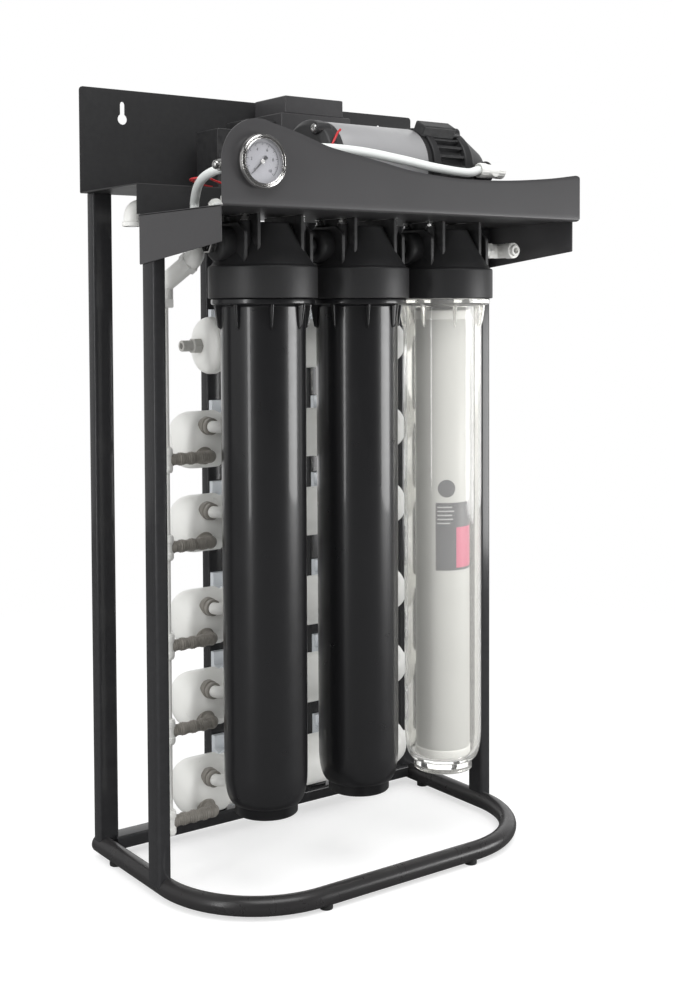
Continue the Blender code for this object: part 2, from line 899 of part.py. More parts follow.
def head_mesh(look):
    """One housing head around the point under its middle, at skirt height."""
    origin = Vector((0, 0, 0))
    bore = skirt_bore_radius
    profile = [(0, skirt_bore_height - spigot_drop), (spigot_radius, skirt_bore_height - spigot_drop),
               (spigot_radius, skirt_bore_height), (bore, skirt_bore_height), (bore, 0),
               (skirt_radius, 0), (skirt_radius, skirt_height - skirt_chamfer),
               (skirt_radius - skirt_chamfer, skirt_height),
               (dome_base_radius, dome_base_rise), (dome_waist_radius, dome_waist_rise),
               (dome_crown_radius, dome_crown_rise),
               (dome_crown_radius - skirt_chamfer * 2, dome_top_rise), (0, dome_top_rise)]
    head = turned("head", profile, look, origin)
    nub_reach = housing_spacing - port_boss_reach - fit_gap
    spigot_reach = nub_reach + spigot_joint_length
    core_radius = port_boss_radius - rib_thickness
    line = [(0, port_bore_depth - port_boss_reach),
            (port_bore_radius, port_bore_depth - port_boss_reach),
            (port_bore_radius, -port_boss_reach), (port_boss_radius, -port_boss_reach),
            (port_boss_radius, -port_boss_start), (core_radius, -port_boss_start),
            (core_radius, -port_nub_radius), (port_nub_radius, 0),
            (port_nub_radius, nub_reach), (spigot_joint_radius, nub_reach),
            (spigot_joint_radius, spigot_reach), (0, spigot_reach)]
    parts = [turned("ports", line, look, (0, 0, port_rise), (1, 0, 0), middle_sides)]
    for side in (-1, 1):
        x = side * rib_inner_x
        parts.append(block("rib", (x - rib_thickness / 2, -rib_half_depth, rib_foot_rise),
                           (x + rib_thickness / 2, rib_half_depth,
                            tray_height - skirt_bottom - fit_gap), look))
        x = side * rib_outer_x
        shape = [(-rib_outer_half_depth, rib_foot_rise),
                 (rib_outer_half_depth, rib_foot_rise),
                 (rib_outer_half_depth, rib_outer_edge_rise),
                 (rib_outer_half_depth * rib_outer_top_share, rib_outer_top_rise),
                 (-rib_outer_half_depth * rib_outer_top_share, rib_outer_top_rise),
                 (-rib_outer_half_depth, rib_outer_edge_rise)]
        parts.append(prism("rib", shape, x - rib_thickness / 2, x + rib_thickness / 2,
                           look, "YZ"))
    parts += screw_stack(look)
    combine(head, parts)

    outward = [(spigot_reach + overrun, 0, port_rise), (0, 0, port_rise),
               (0, 0, skirt_bore_height - spigot_drop - overrun)]
    inward = [(-port_boss_reach - overrun, 0, port_rise), (-inlet_passage_x, 0, port_rise),
              (-inlet_passage_x, 0, skirt_bore_height - overrun)]
    for route in (outward, inward):
        combine(head, [swept("passage", route, passage_radius, look)], "DIFFERENCE")
    return head


def screw_stack(look):
    """Four screws with washers that hold one head under the tray."""
    under = tray_height - skirt_bottom
    over = under + sheet + fit_gap
    profile = [(0, rib_foot_rise), (screw_boss_radius, rib_foot_rise),
               (screw_boss_radius, screw_boss_top_rise),
               (screw_washer_radius, screw_boss_top_rise),
               (screw_washer_radius, under - fit_gap), (screw_radius, under - fit_gap),
               (screw_radius, over), (screw_head_radius, over),
               (screw_crown_radius, over + screw_head_height), (0, over + screw_head_height)]
    return [turned("screw", profile, look, (side_x * screw_x, side_y * screw_y, 0), (0, 0, 1),
                   screw_sides)
            for side_x in (-1, 1) for side_y in (-1, 1)]


def bowl_profile():
    """Radius and height pairs of a bowl, from the middle of its underside."""
    top = skirt_bottom + skirt_bore_height - neck_clear_height
    shoulder = shoulder_height - bowl_bottom
    ring_top = base_ring_height
    outer_shares = ((0.93, 0.60), (0.68, 0.28), (0.25, 0.06))
    inner_shares = ((0.90, 0.60), (0.55, 0.20))
    collar_top = skirt_bottom - fit_gap - bowl_bottom
    collar_low = collar_top - collar_height
    neck_top = top - bowl_bottom
    wall = bowl_wall
    points = [(0, base_recess), (base_ring_inner_radius - overrun, base_recess),
              (base_ring_inner_radius, 0), (base_ring_radius, 0), (base_ring_radius, ring_top)]
    for share_r, share_z in reversed(outer_shares):
        points.append((base_ring_radius + (bowl_low_radius - base_ring_radius) * share_r,
                       ring_top + (shoulder - ring_top) * share_z))
    points += [(bowl_low_radius, shoulder), (bowl_radius, collar_low - collar_slope_height),
               (collar_radius, collar_low), (collar_radius, collar_top),
               (neck_radius, collar_top), (neck_radius, neck_top),
               (neck_bore_radius, neck_top), (neck_bore_radius, collar_low),
               (bowl_radius - wall, collar_low - neck_step_drop),
               (bowl_low_radius - wall, shoulder)]
    inner_low = bowl_floor
    inner_radius = bowl_floor_radius
    for share_r, share_z in inner_shares:
        points.append((inner_radius + (bowl_low_radius - wall - inner_radius) * share_r,
                       inner_low + (shoulder - inner_low) * share_z))
    points += [(inner_radius, inner_low), (locator_radius, inner_low),
               (locator_radius, inner_low + locator_height),
               (locator_bore_radius, inner_low + locator_height),
               (locator_bore_radius, inner_low), (0, inner_low)]
    return points


def build_housings():
    """Three heads with bowls that screw up into them, seals and cartridges."""
    plastic = black_plastic()
    names = ("left", "middle", "right")
    y = at_depth(housing_depth)
    first_head = head_mesh(plastic)
    bowl = turned("bowl", bowl_profile(), plastic)
    collar_low = skirt_bottom - fit_gap - collar_height - bowl_bottom
    wedges = []
    for step in range(wedge_count):
        root = bowl_radius - bowl_wall / 2
        outline = [(root, collar_low - wedge_length),
                   (wedge_tip_radius, collar_low - wedge_length + wedge_tip_length),
                   (wedge_top_radius, collar_low + collar_height / 2),
                   (root, collar_low + collar_height / 2)]
        wedge = prism("wedge", outline, -wedge_thickness / 2, wedge_thickness / 2, plastic, "XZ")
        angle = 2 * math.pi * (step + 0.5) / wedge_count
        wedge.data.transform(Matrix.Rotation(angle, 4, "Z"))
        wedges.append(wedge)
    combine(bowl, [merged("wedges", wedges, plastic)])

    seal_centre = neck_radius - seal_minor_radius - fit_gap
    seal_height = skirt_bottom + skirt_bore_height - neck_clear_height / 2
    seal_profile = []
    for step in range(seal_steps):
        angle = 2 * math.pi * step / seal_steps
        seal_profile.append((seal_centre + seal_minor_radius * math.cos(angle),
                             seal_minor_radius * math.sin(angle)))
    low = bowl_bottom + bowl_floor + fit_gap
    end = cartridge_end_height
    cartridge_profile = [(cartridge_bore_radius, 0), (cartridge_end_radius, 0),
                         (cartridge_end_radius, end), (cartridge_radius, end),
                         (cartridge_radius, cartridge_length - end),
                         (cartridge_end_radius, cartridge_length - end),
                         (cartridge_end_radius, cartridge_length),
                         (cartridge_bore_radius, cartridge_length)]
    for name, x in zip(names, head_centres()):
        copied("head_" + name, first_head, (x, y, skirt_bottom), plastic)
        clear = name == "right"
        shell = copied("bowl_" + name, bowl, (x, y, bowl_bottom),
                       clear_plastic() if clear else plastic)
        centred(shell, (x, y, bowl_bottom))
        seal = turned("seal_" + name, seal_profile, rubber(), (x, y, seal_height), (0, 0, 1),
                      middle_sides)
        centred(seal, (x, y, seal_height))
        core = turned("cartridge_" + name, cartridge_profile,
                      material("cartridge_white", (0.80, 0.80, 0.78), 0.8), (x, y, low),
                      (0, 0, 1), middle_sides)
        centred(core, (x, y, low))
    bpy.data.objects.remove(first_head)
    bpy.data.objects.remove(bowl)


def build_gauge():
    """The pressure gauge in the hump: case, bezel, dial, needle and lens."""
    height = tray_height + gauge_rise
    steel = bright_steel()
    face = at_depth(panel_front_depth)
    back = (0, 1, 0)
    start = (gauge_x, face, height)
    front = -case_front_proud
    inner = case_radius - case_wall
    floor = case_length - case_wall
    case = turned("gauge_case",
                  [(inner, front), (case_radius - fit_gap / 2, front),
                   (case_radius - fit_gap / 2, case_length), (stem_radius, case_length),
                   (stem_radius, case_length + stem_length),
                   (stem_nut_radius, case_length + stem_length),
                   (stem_nut_radius, case_length + stem_length + stem_nut_length),
                   (needle_hub_radius, case_length + stem_length + stem_nut_length),
                   (needle_hub_radius, floor), (inner, floor)],
                  steel, start, back)
    nut_middle = face + case_length + stem_length + stem_nut_length / 2
    stub = rod("stub", stem_stub_radius, (gauge_x - stem_radius, nut_middle, height),
               (gauge_x - stem_stub_reach, nut_middle, height), steel)
    combine(case, [stub])

    lip = -bezel_depth + bezel_lip_thickness
    turned("gauge_bezel",
           [(bezel_lip_radius, -bezel_depth), (bezel_radius - overrun / 2, -bezel_depth),
            (bezel_radius, -bezel_depth + overrun / 2), (bezel_radius, -fit_gap),
            (case_radius + fit_gap, -fit_gap), (case_radius + fit_gap, lip),
            (bezel_lip_radius, lip)], steel, start, back)
    dial_back = front - fit_gap
    dial_front = dial_back - dial_thickness
    turned("gauge_dial",
           [(needle_pin_radius + fit_gap, dial_back), (case_radius - fit_gap, dial_back),
            (case_radius - fit_gap, dial_front), (needle_pin_radius + fit_gap, dial_front)],
           material("dial_grey", (0.50, 0.50, 0.52), 0.5), start, back)
    lens_front = lip + fit_gap
    turned("gauge_lens",
           [(0, lens_front), (case_radius - fit_gap, lens_front),
            (case_radius - fit_gap, lens_front + lens_thickness),
            (0, lens_front + lens_thickness)], clear_plastic(), start, back)

    needle_back = dial_front - needle_clear
    needle_look = material("needle_black", (0.02, 0.02, 0.02), 0.4)
    pin = turned("gauge_needle",
                 [(0, needle_back + needle_pin_length), (needle_pin_radius,
                                                         needle_back + needle_pin_length),
                  (needle_pin_radius, needle_back + fit_gap),
                  (needle_hub_radius, needle_back + fit_gap),
                  (needle_hub_radius, needle_back - needle_thickness - fit_gap),
                  (0, needle_back - needle_thickness - fit_gap)],
                 needle_look, start, back, small_sides)
    along = Vector((math.cos(needle_rest_angle), math.sin(needle_rest_angle)))
    side = Vector((-along.y, along.x))
    middle = Vector((gauge_x, height))
    outline = []
    for reach, half in ((needle_length, needle_tip_half_width),
                        (0, needle_root_half_width),
                        (-needle_tail_length, needle_tail_half_width)):
        outline.append(tuple(middle + along * reach + side * half))
    for reach, half in ((-needle_tail_length, needle_tail_half_width),
                        (0, needle_root_half_width),
                        (needle_length, needle_tip_half_width)):
        outline.append(tuple(middle + along * reach - side * half))
    hand = prism("hand", outline, face + needle_back - needle_thickness, face + needle_back,
                 needle_look, "XZ")
    combine(pin, [hand])
    centred(pin, start)


def build_pump():
    """The booster pump: motor can, end cap, rotor, ribbed head and bracket."""
    y = at_depth(pump_depth)
    plastic = black_plastic()
    right = (1, 0, 0)
    label = material("pump_label_grey", (0.45, 0.45, 0.46), 0.35)
    length = pump_can_right_x - pump_can_left_x
    motor = turned("pump_motor", [(pump_can_bore_radius, 0), (pump_can_radius, 0),
                                  (pump_can_radius, length), (pump_can_bore_radius, length)],
                   label, (pump_can_left_x, y, pump_height), right)
    base = tray_height + sheet + fit_gap
    foot = block("foot", (bracket_left_x, y - bracket_half_depth, base),
                 (bracket_right_x, y + bracket_half_depth, base + bracket_rise), label)
    middle = (pump_can_bore_radius + pump_can_radius) / 2
    cuts = [rod("saddle", middle, (bracket_left_x - overrun, y, pump_height),
                (bracket_right_x + overrun, y, pump_height), label, large_sides),
            block("slot", (bracket_left_x - overrun, y - bracket_slot_half_depth,
                           base - overrun),
                  (bracket_right_x + overrun, y + bracket_slot_half_depth,
                   base + bracket_slot_rise - overrun), label)]
    combine(foot, cuts, "DIFFERENCE")
    combine(motor, [foot])

    cap_end = pump_can_left_x - fit_gap
    cap = turned("pump_end_cap",
                 [(0, 0), (pump_cap_radius - pump_cap_chamfer, 0),
                  (pump_cap_radius, pump_cap_chamfer), (pump_cap_radius, pump_cap_length),
                  (pump_bearing_radius, pump_cap_length),
                  (pump_bearing_radius, pump_cap_length - pump_bearing_depth),
                  (0, pump_cap_length - pump_bearing_depth)],
                 plastic, (cap_end - pump_cap_length, y, pump_height), right)
    ears = []
    for turn in (pump_ear_angle, 0, -pump_ear_angle):
        spot_y = y + pump_ear_offset * math.cos(turn)
        spot_z = pump_height + pump_ear_offset * math.sin(turn)
        ears.append(rod("ear", pump_ear_radius, (cap_end - pump_ear_length, spot_y, spot_z),
                        (cap_end - overrun / 2, spot_y, spot_z), plastic))
    combine(cap, ears)

    shaft_left = cap_end - pump_bearing_depth + fit_gap
    shaft_right = pump_can_right_x + pump_cavity_depth - overrun
    core_left = pump_can_left_x + (length - rotor_length) / 2 + rotor_commutator_length / 2
    drive = [(0, 0), (rotor_shaft_radius, 0),
             (rotor_shaft_radius, core_left - rotor_commutator_length - shaft_left),
             (rotor_commutator_radius, core_left - rotor_commutator_length - shaft_left),
             (rotor_commutator_radius, core_left - shaft_left),
             (rotor_radius, core_left - shaft_left),
             (rotor_radius, core_left + rotor_length - shaft_left),
             (rotor_shaft_radius, core_left + rotor_length - shaft_left),
             (rotor_shaft_radius, shaft_right - shaft_left), (0, shaft_right - shaft_left)]
    rotor = turned("pump_rotor", drive, material("rotor_steel", (0.30, 0.28, 0.26), 0.5, 0.8),
                   (shaft_left, y, pump_height), right, middle_sides)
    centred(rotor, (pump_can_left_x, y, pump_height))

    head_start = pump_can_right_x + fit_gap
    barrel_end = pump_flange_length + pump_barrel_length
    total = barrel_end + pump_flange_length + pump_cover_length
    profile = [(0, pump_cavity_depth), (pump_cavity_radius, pump_cavity_depth),
               (pump_cavity_radius, 0), (pump_flange_radius, 0),
               (pump_flange_radius, pump_flange_length),
               (pump_barrel_radius, pump_flange_length),
               (pump_barrel_radius, barrel_end), (pump_flange_radius, barrel_end),
               (pump_flange_radius, barrel_end + pump_flange_length),
               (pump_cover_end_radius, total), (0, total)]
    head = turned("pump_head", profile, plastic, (head_start, y, pump_height), right)
    parts = []
    for step in range(pump_rib_count):
        bar = block("rib", (head_start + pump_flange_length / 2, -pump_rib_thickness / 2,
                            pump_barrel_radius - overrun),
                    (head_start + barrel_end + pump_flange_length / 2, pump_rib_thickness / 2,
                     pump_rib_radius), plastic)
        bar.data.transform(Matrix.Rotation(2 * math.pi * step / pump_rib_count, 4, "X"))
        bar.data.transform(Matrix.Translation((0, y, pump_height)))
        parts.append(bar)
    port_x = pump_port_x()
    port_z = pump_height - pump_port_drop
    parts.append(rod("port", pump_port_radius, (port_x, y - pump_port_reach, port_z),
                     (port_x, y + pump_port_reach, port_z), plastic, middle_sides))
    for turn in (pump_ear_angle, 0, -pump_ear_angle):
        spot_y = y + pump_ear_offset * math.cos(turn)
        spot_z = pump_height + pump_ear_offset * math.sin(turn)
        parts.append(rod("ear", pump_ear_radius, (head_start + overrun / 2, spot_y, spot_z),
                         (head_start + barrel_end + pump_flange_length / 2, spot_y, spot_z),
                         plastic))
    combine(head, parts)
    cuts = []
    for side in (-1, 1):
        cuts.append(rod("bore", pump_port_bore_radius,
                        (port_x, y + side * (pump_port_reach - pump_port_bore_depth), port_z),
                        (port_x, y + side * (pump_port_reach + overrun), port_z),
                        plastic))
    combine(head, [merged("cuts", cuts, plastic)], "DIFFERENCE")


def pump_port_x():
    """World X of the two ports in the cover end of the pump head."""
    return (pump_can_right_x + fit_gap + pump_flange_length * 2 + pump_barrel_length
            + pump_port_setback)


def build_electrics():
    """Power box with its lid, controller box and the feed valve."""
    look = black_plastic()
    base = shelf_height + sheet + fit_gap
    box = block("power_box", (power_left_x, at_depth(power_front_depth), base),
                (power_right_x, at_depth(power_rear_depth), base + power_height), look,
                box_edge_radius)
    middle_y = at_depth((power_front_depth + power_rear_depth) / 2)
    socket_z = base + power_height / 2
    socket = turned("socket", [(socket_radius / 2, 0), (socket_radius, 0),
                               (socket_radius, socket_length * 2),
                               (socket_radius / 2, socket_length * 2)],
                    look, (power_right_x - socket_length, middle_y, socket_z), (1, 0, 0),
                    small_sides)
    combine(box, [socket])
    block("power_lid", (power_left_x + lid_inset, at_depth(power_front_depth - lid_inset / 2),
                        base + power_height + fit_gap),
          (power_right_x - lid_inset, at_depth(power_rear_depth + lid_inset / 2),
           base + power_height + fit_gap + lid_height), look, box_edge_radius)

    right_x = power_left_x - fit_gap
    outline = [(controller_left_x, base), (right_x, base), (right_x, base + controller_high_height),
               (controller_step_x, base + controller_high_height),
               (controller_step_x, base + controller_low_height),
               (controller_left_x, base + controller_low_height)]
    prism("controller_box", outline, at_depth(controller_front_depth),
          at_depth(controller_rear_depth), look, "XZ")

    y = at_depth(valve_depth)
    base = tray_height + sheet + valve_stand_height
    white = white_plastic()
    body = block("valve_body", (valve_x - valve_half_width, y - valve_half_length, base),
                 (valve_x + valve_half_width, y + valve_half_length, base + valve_body_height),
                 white)
    port_z = base + valve_port_rise
    rear_port_y = y + valve_port_reach
    parts = [rod("port", valve_port_radius, (valve_x, y, port_z), (valve_x, rear_port_y, port_z),
                 white, middle_sides),
             rod("port", valve_port_radius, (valve_x, y, port_z),
                 (valve_x + valve_port_reach, y, port_z), white, ring_sides)]
    combine(body, parts)
    cuts = [rod("bore", valve_port_bore_radius, (valve_x, rear_port_y - valve_port_bore_depth,
                                                 port_z),
                (valve_x, rear_port_y + overrun, port_z), white),
            rod("bore", valve_port_bore_radius,
                (valve_x + valve_port_reach - valve_port_bore_depth, y, port_z),
                (valve_x + valve_port_reach + overrun, y, port_z), white),
            rod("seat", plunger_radius + plunger_clear,
                (valve_x, y, base + valve_body_height - plunger_seat_depth),
                (valve_x, y, base + valve_body_height + overrun), white)]
    combine(body, cuts, "DIFFERENCE")
    coil_base = base + valve_body_height + fit_gap
    coil = block("valve_coil", (valve_x - coil_half_width, y - coil_half_length, coil_base),
                 (valve_x + coil_half_width, y + coil_half_length, coil_base + coil_height), look,
                 box_edge_radius)
    bore = rod("bore", plunger_radius + plunger_clear, (valve_x, y, coil_base - overrun),
               (valve_x, y, coil_base + plunger_bore_height), look)
    combine(coil, [bore], "DIFFERENCE")
    plunger_low = coil_base - plunger_seat_depth
    plunger = rod("valve_plunger", plunger_radius, (valve_x, y, plunger_low),
                  (valve_x, y, plunger_low + plunger_length), bright_steel())
    centred(plunger, (valve_x, y, plunger_low))


def vessel_heights():
    """Heights of the five membrane vessels, from the lowest."""
    spread = vessel_high_height - vessel_low_height
    return [vessel_low_height + share * spread for share in vessel_height_shares]


def dome(start_x, tip_x, radius, end_radius):
    """Radius and length pairs of a rounded end that shrinks towards its tip."""
    points = []
    for step in range(cap_dome_steps + 1):
        angle = math.pi / 2 * step / cap_dome_steps
        points.append((end_radius + (radius - end_radius) * math.cos(angle),
                       start_x - (start_x - tip_x) * math.sin(angle)))
    return points


def build_vessels():
    """Five membrane vessels with domed caps, the inline filter and the clips."""
    white = white_plastic()
    y = at_depth(vessel_depth)
    bore = vessel_radius - vessel_wall
    end_x = vessel_right_x + vessel_end_length
    boss_end = end_x + vessel_end_boss_length
    left = vessel_left_x
    body_profile = [(bore, left), (vessel_radius, left), (vessel_radius, vessel_right_x),
                    (vessel_radius * vessel_shoulder_radius_share,
                     vessel_right_x + vessel_end_length * vessel_shoulder_length_share),
                    (vessel_end_boss_radius, end_x), (vessel_end_boss_radius, boss_end),
                    (vessel_bore_radius, boss_end), (vessel_bore_radius, vessel_right_x),
                    (bore, vessel_right_x - vessel_wall)]
    cap_outer = dome(cap_dome_start_x, cap_tip_x, cap_radius, cap_radius * cap_dome_end_share)
    cap_inner = vessel_radius + fit_gap
    cavity_x = vessel_left_x - fit_gap
    cap_profile = [(0, cavity_x), (cap_inner, cavity_x), (cap_inner, cap_skirt_right_x),
                   (cap_radius, cap_skirt_right_x)] + cap_outer + [(0, cap_tip_x)]
    cap = turned("cap", cap_profile, white, (0, 0, 0), (1, 0, 0), vessel_sides)
    ports = []
    for x, rise in ((cap_port_upper_x, cap_port_upper_rise),
                    (cap_port_lower_x, -cap_port_lower_drop)):
        ports.append(rod("port", cap_port_radius, (x, -cap_port_reach, rise),
                         (x, -cap_port_radius, rise), white))
    reach = -cap_port_reach - elbow_leg
    path = rounded_path([(cap_port_upper_x, -cap_port_reach + overrun, cap_port_upper_rise),
                         (cap_port_upper_x, reach, cap_port_upper_rise),
                         (cap_port_upper_x + upper_stub_reach, reach, cap_port_upper_rise)],
                        elbow_leg / 2, 2)
    ports.append(swept("elbow", path, stem_fitting_radius, white))
    combine(cap, ports)
    element_profile = [(0, element_left_x - element_tube_length),
                       (element_tube_radius, element_left_x - element_tube_length),
                       (element_tube_radius, element_left_x), (element_radius, element_left_x),
                       (element_radius, element_right_x), (element_tube_radius, element_right_x),
                       (element_tube_radius, element_right_x + element_tube_length),
                       (0, element_right_x + element_tube_length)]
    body = turned("body", body_profile, white, (0, 0, 0), (1, 0, 0), vessel_sides)
    combine(body, clip_pair(white))
    membrane = material("membrane_white", (0.75, 0.76, 0.75), 0.6)
    for number, height in enumerate(vessel_heights(), 1):
        copied("vessel_%d" % number, body, (0, y, height), white)
        copied("vessel_cap_%d" % number, cap, (0, y, height), white)
        turned("membrane_element_%d" % number, element_profile, membrane, (0, y, height),
               (1, 0, 0), vessel_sides)
    bpy.data.objects.remove(body)
    bpy.data.objects.remove(cap)

    nut_x = filter_dome_tip_x - filter_nut_length
    stub_x = nut_x - filter_stub_length
    filter_outer = dome(filter_dome_start_x, filter_dome_tip_x, cap_radius,
                        filter_nut_radius)
    filter_profile = [(0, boss_end), (vessel_end_boss_radius, boss_end),
                      (vessel_end_boss_radius, end_x), (vessel_radius, vessel_right_x),
                      (vessel_radius, cap_skirt_right_x), (cap_radius, cap_skirt_right_x)] \
        + filter_outer + [(filter_nut_radius, nut_x), (filter_stub_radius, nut_x),
                          (filter_stub_radius, stub_x), (filter_stub_bore_radius, stub_x),
                          (filter_stub_bore_radius, filter_dome_tip_x), (0, filter_dome_tip_x)]
    guard = turned("inline_filter", filter_profile, white, (0, 0, 0), (1, 0, 0), ring_sides)
    combine(guard, clip_pair(white))
    guard.data.transform(Matrix.Translation((0, y, filter_height)))


def clip_pair(look):
    """Two open clips that hold one vessel to the uprights, around the X axis."""
    inner = vessel_radius - overrun / 2
    outer = vessel_radius + clip_band
    base_reach = vessel_depth - rear_post_inset - stock_thin - fit_gap
    front = base_reach - clip_lug_thickness
    outline = []
    for step in range(clip_steps + 1):
        angle = clip_mouth_angle - math.pi \
            + (2 * math.pi - 2 * clip_mouth_angle) * step / clip_steps
        outline.append((inner * math.cos(angle), inner * math.sin(angle)))
    angle = math.pi - clip_mouth_angle
    outline.append((outer * math.cos(angle), outer * math.sin(angle)))
    back = []
    for step in range(clip_back_steps + 1):
        turn = math.pi / 2 - math.pi / 4 * step / clip_back_steps
        back.append((outer * math.cos(turn), outer * math.sin(turn)))
    outline += back + [(front, clip_lug_foot), (front, clip_lug_reach),
                       (base_reach, clip_lug_reach), (base_reach, -clip_base_half_height)]
    outline += [(reach, -rise) for reach, rise in reversed(back)]
    outline.append((outer * math.cos(angle), -outer * math.sin(angle)))
    return [prism("clip", outline, x - clip_width / 2, x + clip_width / 2, look, "YZ")
            for x in (-upright_x, upright_x)]


def build_fittings():
    """The manifold, the feed elbow, the outlet with its collet and the inlet bushing."""
    white = white_plastic()
    grey = grey_plastic()
    vessel_y = at_depth(vessel_depth)
    face_y = vessel_y - cap_port_reach - fit_gap
    manifold_y = at_depth(manifold_depth)
    lower = [height - cap_port_lower_drop for height in vessel_heights()]
    tube = water_tube_radius
    profile = [(0, manifold_bottom)]
    if lower[0] - manifold_tee_half_length > manifold_bottom:
        profile.append((tube, manifold_bottom))
    else:
        profile.append((manifold_tee_radius, manifold_bottom))
    for height in lower:
        below = height - manifold_tee_half_length
        if below > manifold_bottom:
            profile += [(tube, below), (manifold_tee_radius, below)]
        profile += [(manifold_tee_radius, height + manifold_tee_half_length),
                    (tube, height + manifold_tee_half_length)]
    profile += [(tube, manifold_top), (0, manifold_top)]
    manifold = turned("manifold", profile, white, (manifold_x, manifold_y, 0), (0, 0, 1),
                      small_sides)
    parts = []
    for level in lower:
        path = rounded_path([(cap_port_lower_x, face_y, level),
                             (cap_port_lower_x, manifold_y, level),
                             (manifold_x, manifold_y, level)], (face_y - manifold_y) / 2, 2)
        parts.append(swept("stem", path, stem_fitting_radius, white))
    down_y = at_depth(down_tube_depth)
    path = rounded_path([(down_tube_x, down_y, down_elbow_top),
                         (down_tube_x, down_y, down_elbow_low),
                         (manifold_x, manifold_y, down_elbow_low - elbow_leg * 2),
                         (manifold_x, manifold_y, manifold_top - elbow_leg)],
                        elbow_radius * elbow_bend_share, elbow_bend_steps)
    parts.append(swept("elbow", path, elbow_radius, white))
    combine(manifold, parts)

    feed_y = at_depth(tray_rear_depth - feed_bulkhead_leg)
    low = feed_bulkhead_height - feed_bulkhead_drop - elbow_radius
    path = rounded_path([(valve_x, at_depth(tray_rear_depth + overrun), feed_bulkhead_height),
                         (valve_x, feed_y, feed_bulkhead_height),
                         (feed_elbow_x, feed_y, feed_bulkhead_height),
                         (feed_elbow_x, feed_y, low)],
                        elbow_radius * elbow_bend_share, elbow_bend_steps)
    bulkhead = swept("feed_bulkhead", path, elbow_radius, white)
    port_y = at_depth(valve_depth) + valve_port_reach
    combine(bulkhead, [rod("link", water_tube_radius,
                           (valve_x, at_depth(tray_rear_depth), feed_bulkhead_height),
                           (valve_x, port_y - valve_port_bore_depth + overrun,
                            feed_bulkhead_height), white)])

    joint_z = skirt_bottom + port_rise
    y = at_depth(housing_depth)
    head_end = head_centres()[-1] + housing_spacing - port_boss_reach - fit_gap
    elbow_y = y - outlet_reach
    body = rod("outlet_elbow", outlet_elbow_radius,
               (outlet_elbow_x, y + outlet_elbow_radius, joint_z),
               (outlet_elbow_x, elbow_y, joint_z), white, middle_sides)
    arm = rod("arm", outlet_arm_radius, (head_end + fit_gap, y, joint_z),
              (outlet_elbow_x, y, joint_z), white, middle_sides)
    combine(body, [arm])
    cuts = [rod("bore", outlet_bore_radius, (outlet_elbow_x, elbow_y - overrun, joint_z),
                (outlet_elbow_x, elbow_y + outlet_bore_depth, joint_z), white, middle_sides),
            rod("socket", spigot_joint_radius + fit_gap, (head_end - overrun, y, joint_z),
                (head_end + spigot_joint_length + fit_gap * 2, y, joint_z), white,
                large_sides),
            rod("passage", collet_bore_radius,
                (outlet_elbow_x, elbow_y + outlet_bore_depth / 2, joint_z),
                (outlet_elbow_x, y, joint_z), white, small_sides),
            rod("passage", collet_bore_radius, (head_end + spigot_joint_length, y, joint_z),
                (outlet_elbow_x, y, joint_z), white, ring_sides)]
    combine(body, cuts, "DIFFERENCE")
    rim = collet_rim_length
    deep = collet_length
    collet = turned("outlet_collet",
                    [(collet_bore_radius, -rim), (collet_rim_radius, -rim),
                     (collet_rim_radius, 0), (collet_radius, 0), (collet_radius, deep - rim),
                     (collet_bore_radius, deep - rim)], grey,
                    (outlet_elbow_x, elbow_y - collet_travel - fit_gap, joint_z), (0, 1, 0),
                    middle_sides)
    centred(collet, (outlet_elbow_x, elbow_y - collet_travel - fit_gap, joint_z))

    left_end = head_centres()[0] - port_boss_reach
    turned("inlet_bushing",
           [(bushing_bore_radius, -bushing_hex_length), (bushing_hex_radius, -bushing_hex_length),
            (bushing_hex_radius, -fit_gap), (spigot_joint_radius, -fit_gap),
            (spigot_joint_radius, spigot_joint_length), (bushing_bore_radius,
                                                         spigot_joint_length)],
           bright_steel(), (left_end, y, joint_z), (1, 0, 0), small_sides)


def routed(shares):
    """Points over the tray, as shares of its half width, its depth and the pump's rise.

    The depth runs from the pump's axis, forward to the panel and back to the tray's rear.
    """
    points = []
    for share_x, share_depth, share_height in shares:
        reach = panel_front_depth if share_depth > 0 else tray_rear_depth
        depth = pump_depth + abs(share_depth) * (reach - pump_depth)
        points.append((share_x * panel_half_width, at_depth(depth),
                       tray_height + share_height * pump_rise))
    return points


